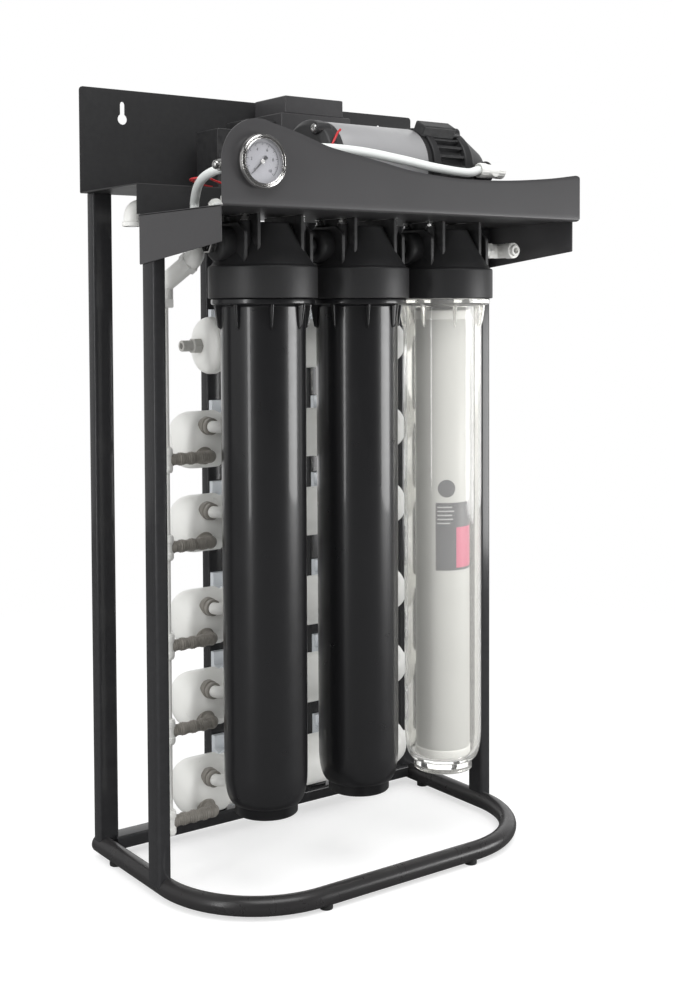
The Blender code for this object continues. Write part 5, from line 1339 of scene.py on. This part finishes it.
@dataclass
class Pump:
    """Motor can on its cradle, end cap, ribbed head, screws."""

    y: float = -0.05225
    z: float = 0.764
    can_left: float = -0.062
    cap_left: float = -0.0813
    head_x: float = 0.0643
    port_x: float = 0.136
    port_z: float = 0.760
    ear_angles: tuple[float, ...] = (120, 0, -120)
    ear_reach: float = 0.044
    cap_reach: float = 0.0395
    cap_turn: float = 7.7
    ribs: int = 24

    def build(self, shop: Workshop) -> None:
        """Builds the pump."""
        self.motor(shop)
        self.end_cap(shop)
        self.head(shop)
        shop.dress("pump_rotor", "rotor")

    def motor(self, shop: Workshop) -> None:
        """The can in its wrap label, the can's dark ends and the cradle."""
        place = (self.can_left, self.y, self.z)
        shop.piece("motor_can", sleeve(28, 41.5, 0, 126, 1.2, place, RIGHT, 96, 4), "matte",
                   replaces="pump_motor")
        shop.piece("motor_label", sleeve(40.5, 42, 7, 119, 0.3, place, RIGHT, 96, 2),
                   "silver_label")
        turn = quarter(30, -38, -142)
        saddle = np.stack([0.0425 * np.cos(turn), self.z + 0.0425 * np.sin(turn)], 1)
        half, foot, base, step, top, cut = 0.040, 0.031, 0.7078, 0.7133, 0.7338, 0.006
        left = [(-half + cut, top), (-half, top - cut), (-half, base), (-foot, base),
                (-foot, step)]
        outline = np.vstack([saddle[saddle[:, 1] < top], left,
                             [(-y, z) for y, z in left[::-1]]]) + (self.y, 0)
        shop.piece("cradle", [slab(outline, x, x + 0.026, Plane.SIDE) for x in (-0.036, 0.016)],
                   "rubber", bevel=0.001)

    def end_cap(self, shop: Workshop) -> None:
        """The black cap with its ears and bright screws."""
        cap = turned([(0, 0), (16, 0), (16.5, 1.5), (37, 3), (43, 8.5), (43, 19), (4.4, 19),
                      (4.4, 7), (0, 7)], (0, 1, 1, 4, 4, 0.8, 0.4, 0.3, 0),
                     (self.cap_left, self.y, self.z), RIGHT, 96, 6)
        ears = [sleeve(0, 6.5, 0, 18, 1.2, spot, RIGHT, steps=5)
                for spot in self.ear_spots(self.cap_left, self.cap_reach, self.cap_turn)]
        shop.piece("motor_cap", [cap, *ears], "matte", replaces="pump_end_cap", crease=45)
        shop.piece("cap_screws", [self.pan_screw(4.6, spot, RIGHT) for spot in self.ear_spots(
            self.cap_left + 0.0002, self.cap_reach, self.cap_turn)], "zinc")

    def ear_spots(self, x: float, reach: float, turn: float = 0.0) -> list[Point]:
        """World places of the screws round the motor, turned on by an angle in degrees."""
        angles = [math.radians(angle + turn) for angle in self.ear_angles]
        return [(x, self.y + reach * math.cos(angle), self.z + reach * math.sin(angle))
                for angle in angles]

    @staticmethod
    def pan_screw(radius: float, spot: Point, axis: Point) -> Shell:
        """A pan head with a recess, along its axis from the crown, from millimetres."""
        return turned([(0, -1.2), (radius * 0.42, -1.2), (radius * 0.46, -2.2),
                       (radius * 0.8, -2), (radius, -0.6), (radius, 0.4), (0, 0.4)],
                      (0, 0.3, 0.3, 0.8, 0.5, 0, 0), spot, axis, 32, 4)

    def head(self, shop: Workshop) -> None:
        """The ribbed head with its two flanges, ports and cover."""
        left, middle = self.head_x, (0, self.y, self.z)
        low, high, half = 0.035, 0.0425, 0.0016
        rib = slab([(left + 0.004, low), (left + 0.050, low), (left + 0.050, high),
                    (left + 0.004, high)], -half, half, Plane.FRONT)
        shop.piece("pump_ribs", [rib.spun(-2 * math.pi * step / self.ribs, 0).moved(middle)
                                 for step in range(self.ribs)], "matte", bevel=0.0006)
        pad = block((left - 0.006, -0.0085, 0.040), (left + 0.040, 0.0085, 0.0535))
        shop.piece("pump_pads", [pad.spun(math.radians(angle - 90), 0).moved(middle)
                                 for angle in self.ear_angles], "matte", bevel=0.002)
        body = turned([(0, 20), (26, 20), (26, 0), (44, 0), (44, 9.5), (37, 9.5), (37, 44.5),
                       (44, 44.5), (44, 54), (40.5, 59.5), (25.5, 87.5), (23.5, 90), (0, 90)],
                      (0, 0, 0.3, 1, 1.5, 1, 1, 1.5, 2, 12, 4, 1, 0), (left, *middle[1:]),
                      RIGHT, 96)
        mouth = (self.port_x, self.y, self.port_z)
        ports = [turned([(0, -47), (6, -47), (9.5, -47), (9.5, 47), (6, 47), (0, 47)],
                        (0, 0, 1.2, 1.2, 0, 0), mouth, BACK, 40, 4),
                 *(sleeve(6, 11.8, -46.5, -40.5, 1, mouth, axis, 40, 4)
                   for axis in (BACK, AHEAD))]
        ears = [turned([(0, 1), (6.5, 1), (6.5, 49.5), (0, 49.5)], 1, spot, RIGHT, 32)
                for spot in self.ear_spots(left, self.ear_reach)]
        shop.piece("pump_body", [body, *ports, *ears], "matte", replaces="pump_head", crease=40)
        shop.piece("pump_screws", [self.pan_screw(4.2, spot, LEFT) for spot in self.ear_spots(
            left + 0.0500, self.ear_reach)], "zinc")


# Electrics

@dataclass
class Electrics:
    """Power box with its lid, controller box and feed valve."""

    base: float = 0.7398
    box_left: float = -0.020
    box_right: float = 0.078
    box_top: float = 0.8338
    lid_top: float = 0.8541
    valve: Point = (-0.140, -0.02325, 0.7079)

    def build(self, shop: Workshop) -> None:
        """Builds the boxes and the valve."""
        self.power(shop)
        self.controller(shop)
        self.feed_valve(shop)

    def power(self, shop: Workshop) -> None:
        """The power box, its lid, side slots and the inlet."""
        rear, front, left, right = at_depth(0.008), at_depth(0.080), self.box_left, self.box_right
        shop.piece("power_case", block((left, front, self.base), (right, rear, self.box_top)),
                   "coat", replaces="power_box", bevel=0.0014)
        shop.piece("power_cover", block((left + 0.008, front + 0.004, self.box_top + 0.0003),
                                        (right - 0.008, rear - 0.004, self.lid_top)), "coat",
                   replaces="power_lid", bevel=0.0014)
        socket = turned([(3, -4), (6, -4), (6, 3.8), (3, 3.8)], 0.8,
                        (right, at_depth(0.044), 0.7868), RIGHT, 32, 3)
        shop.piece("power_inlet", socket, "rubber")
        low, high, wide = 0.806, 0.826, 0.0025
        fins = [block((right - 0.002, y, low), (right + 0.0006, y + wide, high))
                for y in front + 0.012 + 0.006 * np.arange(9)]
        shop.piece("power_fins", fins, "coat", bevel=0.0003)

    def controller(self, shop: Workshop) -> None:
        """The stepped controller box beside it."""
        left, step, right, low, high = -0.098, -0.058, -0.0203, 0.8118, 0.8248
        outline = fillet([(left, self.base), (right, self.base), (right, high), (step, high),
                          (step, low), (left, low)],
                         (0.001, 0.001, 0.0015, 0.0015, 0.001, 0.002), 4, True)
        shop.piece("controller_case", slab(outline, at_depth(0.068), at_depth(0.022),
                                           Plane.FRONT), "matte", replaces="controller_box",
                   bevel=0.0010)

    def feed_valve(self, shop: Workshop) -> None:
        """The feed valve: white body with two ports, and the coil above."""
        x, y, low = self.valve
        noses = [turned([(0, 0), (8, 0), (8, 24.5), (5.6, 26), (5.6, 16), (0, 16)],
                        (0, 0, 0.6, 0.4, 0.2, 0), (x, y, low + 0.0106), axis, 32, 3)
                 for axis in (BACK, RIGHT)]
        body = block((x - 0.011, y - 0.017, low), (x + 0.011, y + 0.017, low + 0.020))
        shop.piece("valve_block", [body, *noses], "white", replaces="valve_body", bevel=0.0008)
        coil = block((x - 0.012, y - 0.014, low + 0.0203), (x + 0.012, y + 0.014, low + 0.0443))
        shop.piece("valve_winding", coil, "matte", replaces="valve_coil", bevel=0.0016)
        shop.dress("valve_plunger", "zinc")


# Membrane vessels

@dataclass
class Vessels:
    """Five membrane vessels with their caps and clips, and the inline filter."""

    y: float = 0.09675
    heights: tuple[float, ...] = (0.074, 0.172532, 0.264808, 0.37116, 0.465)
    filter_height: float = 0.5698
    clip_inner: float = 0.0281
    clip_outer: float = 0.0313
    clip_x: float = 0.072
    clip_half: float = 0.010
    cap_radius: float = 0.032
    cap_power: float = 2.7
    filter_power: float = 2.4
    port: Point = (-0.124, 0.0, 0.017)
    low_port: Point = (-0.129, 0.0, -0.015)
    elbow_reach: float = -0.046
    sides: int = 64

    def build(self, shop: Workshop) -> None:
        """Builds the vessels from the lowest to the filter."""
        for number, height in enumerate(self.heights, 1):
            place = (0.0, self.y, height)
            body = turned([(25.5, -116), (28.5, -116), (28.5, 150), (23, 161.5), (8.5, 166),
                           (8.5, 178), (4.2, 178), (4.2, 150), (25.5, 147)],
                          (0.3, 0.6, 8, 6, 2, 1, 0.5, 0.5, 2), place, RIGHT, self.sides)
            shop.piece(f"vessel_shell_{number}", body, "white", replaces=f"vessel_{number}")
            self.clips(shop, str(number), place)
            self.cap(shop, number, place)
            shop.dress(f"membrane_element_{number}", "membrane")
        self.guard(shop)

    def clips(self, shop: Workshop, name: str, place: Point) -> None:
        """Two open clips that hold a vessel to the uprights.

        Args:
            shop: The workshop.
            name: Ending of the piece's name.
            place: World place of the middle of the vessel's axis.
        """
        inner, upper = (radius * np.stack([np.cos(turn), np.sin(turn)], 1)
                        for radius, turn in ((self.clip_inner, quarter(40, -128, 128)),
                                             (self.clip_outer, quarter(24, 128, 45))))
        tail = [(0.0312, 0.026), (0.0312, 0.0405), (0.0382, 0.0405), (0.0382, -0.012)]
        outline = np.vstack([inner, upper, tail, upper[::-1] * (1, -1)])
        pair = [slab(outline, x - self.clip_half, x + self.clip_half, Plane.SIDE)
                for x in (-self.clip_x, self.clip_x)]
        shop.piece(f"clips_{name}", join(pair).moved(place), "clip", bevel=0.0006)

    def cap(self, shop: Workshop, number: int, place: Point) -> None:
        """One domed cap with its two ports, port rings and the upper elbow.

        Args:
            shop: The workshop.
            number: Which vessel.
            place: World place of the middle of the vessel's axis.
        """
        dome = round_cap(self.cap_radius, -0.124, 0.0, -0.027, self.cap_power,
                         np.sin(quarter(22)))
        dome[-1, 0] = 0
        skirt = bent([(0, -116.3), (28.8, -116.3), (28.8, -98), (32, -98), (32, -124)],
                     (0, 0.3, 0.4, 0.8, 0), 4)
        profile = np.vstack([skirt[:-1], dome])
        shop.piece(f"cap_shell_{number}", lathe(profile, place, RIGHT, self.sides), "white",
                   replaces=f"vessel_cap_{number}", crease=50)
        ports = [shape for mouth in (self.port, self.low_port) for shape in (
            turned([(0, 0), (8.2, 0), (8.2, 31.8), (7, 32.5), (0, 32.5)], (0, 0, 0.5, 0.5, 0),
                   mouth, AHEAD, 36, 3),
            turned([(6, 24), (10.4, 24), (9.8, 31.5), (6, 32)], 1, mouth, AHEAD, 36, 3))]
        shop.piece(f"cap_ports_{number}", join(ports).moved(place), "grey")
        x, _, z = self.port
        path = fillet([(x, -0.028, z), (x, self.elbow_reach, z), (-0.100, self.elbow_reach, z)],
                      0.0068, 8)
        shop.piece(f"cap_elbow_{number}", carry(path, circle(0.0065, 28)).moved(place), "white")
        rings = [nut(9.2, 6, 4, (x, -0.0325, z), AHEAD, 32),
                 sleeve(3.5, 7.8, 0, 8, 1.2, (-0.1115, self.elbow_reach, z), RIGHT, steps=4)]
        shop.piece(f"cap_ring_{number}", join(rings).moved(place), "grey")

    def guard(self, shop: Workshop) -> None:
        """The inline filter above the vessels, with its threaded nut."""
        dome = round_cap(0.0235, -0.103, 0.0085, -0.013, self.filter_power,
                         np.sin(quarter(16, 90, 0)))
        tail = bent([(32, -98), (28.5, -96.5), (28.5, 150), (22.5, 162), (8.5, 166),
                     (8.5, 178), (0, 178)], (1, 0.8, 8, 6, 2, 1, 0), 4)
        place = (0.0, self.y, self.filter_height)
        shop.piece("guard_filter", lathe(np.vstack([[(0, -0.116)], dome, tail]), place, RIGHT,
                                         self.sides), "white", replaces="inline_filter",
                   crease=50)
        self.clips(shop, "filter", place)
        teeth = np.vstack([[(0.0035, -0.002)], thread(np.linspace(0, 0.013, 88), 0.0058, 0.0005,
                                                      0.0015), [(0.0035, 0.013)]])
        shop.piece("guard_fitting", [nut(9, 11, 4, (-0.116, *place[1:]), LEFT),
                                     lathe(teeth, (-0.127, *place[1:]), LEFT, 28)], "stub")


# Plumbing

@dataclass
class Plumbing:
    """Manifold, feed elbow, outlet elbow with its collet, inlet bush and tubes.

    The routes hold shares of the half width, of the way from the pump's axis forward to
    the panel or back to the riser, and of the pump's rise.
    """

    manifold: tuple[float, float] = (-0.187, 0.05125)
    down: tuple[float, float] = (-0.172, 0.01125)
    feed_spot: tuple[float, float] = (-0.140, 0.07475)
    feed_left: float = -0.211
    feed_low: float = 0.6985
    valve_z: float = 0.7185
    port_y: float = -0.04725
    port_z: float = 0.676
    joint_y: float = -0.10775
    joint_left: float = 0.116
    tray_z: float = SheetWork.tray_z
    front_reach: float = 0.0925
    rear_reach: float = 0.074
    stem_radius: float = 0.0064
    stem_bend: float = 0.0062
    ridge_pitch: float = 0.0125
    ridge_swell: float = 0.07
    rib_pitch: float = 0.0026
    rib_swell: float = 0.05
    pressure: tuple[Point, ...] = (
        (0.4051, 0.6459, 0.8621), (0.2132, 0.6568, 0.9103), (0.0111, 0.6568, 1.0121),
        (-0.2132, 0.6568, 1.0983), (-0.4264, 0.6135, 1.1121), (-0.6183, 0.4405, 1.0345),
        (-0.7377, 0.2568, 0.8621), (-0.7765, 0.0849, 0.7638), (-0.7872, -0.0966, 0.7155),
        (-0.7808, -0.3669, 0.6414), (-0.7633, -0.5966, 0.5276), (-0.7458, -0.7588, 0.3862))
    suction: tuple[Point, ...] = (
        (-0.4200, -0.5642, 0.2241), (-0.3625, -0.8345, 0.2414), (0.0, -0.8682, 0.2414),
        (0.3412, -0.8682, 0.2759), (0.5565, -0.8682, 0.4138), (0.5467, -0.8615, 0.6724))

    def build(self, shop: Workshop) -> None:
        """Builds the plumbing."""
        self.line(shop)
        self.down_elbow(shop)
        self.feed(shop)
        self.outlet(shop)
        self.inlet(shop)
        self.tubes(shop)
        self.joint(shop)

    def line(self, shop: Workshop) -> None:
        """The upright line with a tee for each vessel, and the ribbed stems to the caps."""
        x, y = self.manifold
        lower = [height + Vessels.low_port[2] for height in Vessels.heights]
        half = [(4, -14), (7, -13.5), (8.2, -11), (8.2, -6), (7.4, -5)]
        tee = half + [(radius, -height) for radius, height in half[::-1]]
        tees = [turned(tee, 0.6, (x, y, height), UP, 32, 3) for height in lower]
        shop.piece("manifold_line", [sleeve(0, 4.75, 50, 627, 0.5, (x, y, 0.0), steps=2), *tees],
                   "white", replaces="manifold")
        start = Vessels.low_port[0]
        path = fillet([(start, Vessels.y - 0.0288, 0.0), (start, y, 0.0), (x, y, 0.0)],
                      self.stem_bend, 8)
        gone = np.concatenate([[0], np.cumsum(np.linalg.norm(np.diff(path, axis=0), axis=1))])
        even = np.linspace(0, gone[-1], 150)
        dense = np.stack([np.interp(even, gone, path[:, part]) for part in range(3)], 1)
        ridge = np.clip(2.2 * np.sin(even * 2 * math.pi / self.ridge_pitch), -1, 1)
        rib = np.sin(even * 2 * math.pi / self.rib_pitch)
        stem = carry(dense, circle(self.stem_radius, 28),
                     1 + self.ridge_swell * ridge + self.rib_swell * rib, normal=UP)
        shop.piece("manifold_stems", spread(stem, [(0, 0, height) for height in lower]), "grey",
                   crease=50)

    def down_elbow(self, shop: Workshop) -> None:
        """The large elbow at the manifold's top, with its union nuts."""
        corners = np.array([(*self.down, 0.688), (*self.down, 0.664), (*self.manifold, 0.637),
                            (*self.manifold, 0.6135)])
        body = carry(fillet(corners, 0.0099, 10), circle(0.0100, 36))
        slope = corners[2] - corners[1]
        unit = slope / np.linalg.norm(slope)
        nuts = [nut(11.8, 10, 6, place, axis) for place, axis in (
            (corners[1] + unit * 0.006, unit), ((*self.manifold, 0.612), UP),
            ((*self.down, 0.677), UP))]
        shop.piece("down_fitting", [body, *nuts], "white", crease=30)

    def feed(self, shop: Workshop) -> None:
        """The elbow through the riser and its short tube to the valve."""
        (x, y), left, z = self.feed_spot, self.feed_left, self.valve_z
        path = fillet([(x, 0.01975, z), (x, y, z), (left, y, z), (left, y, self.feed_low)],
                      0.0099, 8)
        collars = [nut(12.5, 6, 5, (x, 0.0240, z), BACK),
                   nut(10.8, 5, 5, (-0.196, y, z), RIGHT, 24),
                   nut(10.8, 5, 5, (left, y, self.feed_low), UP, 24)]
        shop.piece("feed_fitting", [carry(path, circle(0.0090, 32)), *collars], "white",
                   replaces="feed_bulkhead", crease=30)
        link = [(x, near, z) for near in (0.02175, 0.010, -0.00525)]
        shop.piece("feed_link", carry(link, circle(TUBE_RADIUS), normal=UP), "tube")

    def outlet(self, shop: Workshop) -> None:
        """The outlet elbow and its release collet."""
        place, side = (0.201, self.port_y, self.port_z), (0.1777, self.port_y, self.port_z)
        barrel = turned([(6.2, -27), (9, -27), (9, -16), (8.3, -14), (8.3, 6), (7, 9), (3.4, 9),
                         (3.4, -13), (6.2, -13)], (0.4, 1, 0.8, 0.6, 2, 2, 0.4, 0.3, 0.3),
                        place, BACK, 40, 4)
        shop.piece("outlet_fitting", [barrel, sleeve(6.9, 8.3, 0, 23.3, 0.6, side, RIGHT, 36),
                                      nut(9.8, 6, 7.2, side, RIGHT, lift=4.5)], "white",
                   replaces="outlet_elbow")
        collet = turned([(3.4, -1.6), (6, -1.6), (6, 0), (5.8, 0.2), (5.8, 11.4), (3.4, 11.4)],
                        0.3, (place[0], -0.07605, place[2]), BACK, 36, 3)
        shop.piece("release_collet", collet, "white", "collet", "outlet_collet", crease=50)

    def inlet(self, shop: Workshop) -> None:
        """The bright bush in the first head's port."""
        place = (-0.185, self.port_y, self.port_z)
        shop.piece("inlet_bush", [sleeve(4.8, 6.6, -9, 14, 0.5, place, RIGHT),
                                  nut(10.5, 8.7, 6, place, RIGHT, lift=-9)], "chrome",
                   replaces="inlet_bushing", crease=28)

    def routed(self, shares: tuple[Point, ...]) -> Array:
        """World points over the tray.

        Args:
            shares: The shares of a route.

        Returns:
            The points.
        """
        table = np.array(shares)
        reach = np.where(table[:, 1] > 0, self.front_reach, self.rear_reach)
        return np.stack([table[:, 0] * SheetWork.half_width, Pump.y - table[:, 1] * reach,
                         self.tray_z + (Pump.z - self.tray_z) * table[:, 2]], 1)

    def tubes(self, shop: Workshop) -> None:
        """The white pressure tube and the white suction tube, on the CAD's routes."""
        x, z = Pump.port_x, Pump.port_z
        pressure = [(x, -0.08825, z), (x, -0.09925, z), (0.1321, self.joint_y, z),
                    (self.joint_left, self.joint_y, z), *self.routed(self.pressure),
                    *((*self.down, height) for height in (0.720, 0.708, 0.6883))]
        suction = [*((near, Electrics.valve[1], self.valve_z)
                     for near in (-0.122, -0.114, -0.1065)), *self.routed(self.suction),
                   *((x, y, z) for y in (0.00225, -0.00525, -0.01525))]
        for name, guides in (("pressure", pressure), ("suction", suction)):
            route = spline(guides, 7)
            shop.piece(f"{name}_line", carry(route, circle(TUBE_RADIUS, 28),
                                             normal=self.lean(route)), "tube",
                       replaces=f"{name}_tube")

    def joint(self, shop: Workshop) -> None:
        """The white elbow on the pump's front port, with a ribbed ring at each mouth."""
        level = (self.joint_y, Pump.port_z)
        arm = turned([(4.7, 0), (7, 0), (7.2, 34), (4.7, 34)], 0.6, (self.joint_left, *level),
                     RIGHT, 32, 3)
        neck = turned([(0, -6.5), (7, -6.5), (7.4, 8.3), (0, 8.3)], 1, (Pump.port_x, *level),
                      BACK, 32, 3)
        grip = bent([(5, 0), (7.8, 0), (7.8, 10), (5, 10)], 0.8, 4, True)
        rings = [lathe(grip, (x, *level), RIGHT, 60, lambda angle: 0.04 * np.cos(15 * angle))
                 for x in (self.joint_left, 0.140)]
        shop.piece("pump_joint", [arm, neck, *rings], "white", crease=50)

    @staticmethod
    def lean(route: Array) -> Array:
        """A changing direction, square to the route, that never turns suddenly.

        Each is the one before, less its part along the route.

        Args:
            route: Points of the route.

        Returns:
            One direction for each point.
        """
        tangent = tangents(route)
        held = basis(tangent[0])[0]
        leans = []
        for along in tangent:
            held = held - along * np.dot(held, along)
            held = held / np.linalg.norm(held)
            leans.append(held)
        return np.array(leans)


# Leads

@dataclass
class Leads:
    """The pump's two leads from its end cap to the controller, routed in millimetres."""

    radius: float = 0.0012
    red: tuple[Point, ...] = (
        (-60, -93, 793.5), (-65, -95, 789.5), (-71.2, -97.5, 781.5), (-77.2, -98.4, 770.9),
        (-82, -96, 752), (-105, -80, 735), (-135, -42, 736), (-157.5, -20.1, 739.8),
        (-177, -21.5, 744), (-188, -13, 743.2), (-178, 8, 743.5), (-150, 40, 744.5),
        (-120, 76, 746), (-97, 98, 747))
    black: tuple[Point, ...] = (
        (-80, -50, 750), (-88, -49, 751), (-94.5, -40, 756), (-95, -20, 764), (-90, 10, 771),
        (-83, 40, 774), (-79, 70, 774), (-78, 86, 774))

    def build(self, shop: Workshop) -> None:
        """Builds the leads."""
        for name, guides in (("red", self.red), ("black", self.black)):
            route = spline(np.array(guides) / 1000, 8)
            lead = shop.piece(f"{name}_lead", carry(route, circle(self.radius, 14)), name)


# Studio

@dataclass
class Studio:
    """Pale floor, soft light and the camera."""

    camera_place: Point = (-0.9194, -1.25135, 0.6083)
    yaw: float = math.radians(35.5)
    pitch: float = math.radians(2.3)
    roll: float = math.radians(-0.3)
    lens: float = 50.4
    shift: tuple[float, float] = (0.0223, -0.1332)
    floor_half: float = 2.4

    def build(self) -> None:
        """Builds the studio."""
        bpy.context.scene.view_settings.view_transform = "Standard"
        self.floor()
        self.world()
        self.lamps()
        self.camera()

    def floor(self) -> None:
        """A pale floor that keeps the shadow, and goes over into white further out."""
        half, white = self.floor_half, (*grey(1.0), 1.0)
        mesh = bpy.data.meshes.new("studio_floor")
        mesh.from_pydata([(-half, -half, 0), (half, -half, 0), (half, half, 0),
                          (-half, half, 0)], [], [(0, 1, 2, 3)])
        item = placed("studio_floor", mesh)
        material = bpy.data.materials.new("studio_floor")
        recipe = Recipe.fresh(material)
        rays = recipe.add("LightPath")
        tone = recipe.mix(rays.outputs["Is Glossy Ray"], (*grey(0.52), 1.0), (*grey(0.15), 1.0))
        shader = recipe.add("BsdfPrincipled", {"Base Color": tone, "Roughness": 0.9,
                                               "Specular IOR Level": 0.0})
        seen = recipe.seen(rays)
        out = recipe.times(recipe.ranged(recipe.vector("LENGTH", recipe.place()), 0.35, 1.4),
                           seen)
        near = recipe.add("Emission", {"Color": white, "Strength": recipe.times(seen, 0.56)})
        both = recipe.add("AddShader", {0: shader.outputs[0], 1: near.outputs[0]})
        plain = recipe.add("Emission", {"Color": white, "Strength": 1.0})
        recipe.surface(recipe.add("MixShader", {0: out, 1: both.outputs[0],
                                                2: plain.outputs[0]}).outputs[0])
        mesh.materials.append(material)

    def world(self) -> None:
        """Even light for surfaces, white behind the object, darker before it in gloss."""
        world = bpy.context.scene.world = bpy.data.worlds.new("studio")
        recipe = Recipe.fresh(world)
        behind, beside = (recipe.vector("DOT_PRODUCT", recipe.place("Generated"), toward)
                          for toward in ((0.581, 0.814, 0.0), (-0.90, 0.44, 0.0)))
        rays = recipe.add("LightPath")
        white, gloss = recipe.seen(rays), rays.outputs["Is Glossy Ray"]
        glossy = recipe.times(gloss, recipe.maths(
            "MAXIMUM", recipe.ranged(behind, 0.30, 0.85, 0.05, 1.0),
            recipe.ranged(beside, 0.64, 0.74, 0.0, 0.42)))
        plain = recipe.maths("SUBTRACT", 1.0, recipe.maths("MAXIMUM", white, gloss))
        strength = recipe.maths("ADD", recipe.maths("ADD", white, glossy), plain)
        light = recipe.add("Background", {"Color": (*grey(1.0), 1.0), "Strength": strength})
        recipe.surface(light.outputs[0], "World")

    def lamps(self) -> None:
        """A tall soft box at the left, a low wide one at the front's right and one above."""
        for name, place, aim, width, height, power in (
                ("left_box", (-1.66, -0.54, 0.75), 0.42, 0.22, 1.7, 9.0),
                ("front_box", (1.510, -1.310, 0.30), 0.36, 1.10, 0.62, 17.0),
                ("top_box", (-0.2, -1.0, 2.2), 0.5, 1.6, 1.2, 22.0)):
            data = bpy.data.lights.new(name, "AREA")
            data.shape = "RECTANGLE"
            data.size, data.size_y, data.energy = width, height, power
            placed(name, data).matrix_world = self.looking(
                place, np.array((0.0, 0.0, aim)) - place, 0.0)

    @staticmethod
    def looking(place: Point, direction: Array, roll: float) -> Matrix:
        """The matrix of something at a place that looks along a direction.

        Args:
            place: Its place.
            direction: Where it looks.
            roll: Its turn about that direction.

        Returns:
            A matrix for matrix_world.
        """
        along = direction / np.linalg.norm(direction)
        right = np.cross(along, UP)
        right /= np.linalg.norm(right)
        up = np.cross(right, along)
        rows = np.eye(4)
        rows[:3, 0] = math.cos(roll) * right + math.sin(roll) * up
        rows[:3, 1] = -math.sin(roll) * right + math.cos(roll) * up
        rows[:3, 2], rows[:3, 3] = -along, place
        return Matrix(rows.tolist())

    def camera(self) -> None:
        """The camera at the photograph's angle."""
        data = bpy.data.cameras.new("camera")
        data.lens, data.sensor_width = self.lens, 36.0
        data.shift_x, data.shift_y = self.shift
        camera = bpy.context.scene.camera = placed("camera", data)
        direction = np.array([math.sin(self.yaw) * math.cos(self.pitch),
                              math.cos(self.yaw) * math.cos(self.pitch), -math.sin(self.pitch)])
        camera.matrix_world = self.looking(self.camera_place, direction, self.roll)


def main() -> None:
    """Builds every sub-assembly in order."""
    logging.basicConfig(level=logging.INFO, format="%(message)s")
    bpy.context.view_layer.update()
    Studio().build()
    shop = Workshop()
    for part in (Stand(), SheetWork(), Housings(), Gauge(), Pump(), Electrics(), Vessels(),
                 Plumbing(), Leads()):
        before = shop.made
        part.build(shop)
        log.info("%s: %d pieces", type(part).__name__, shop.made - before)


if __name__ == "__main__":
    main()
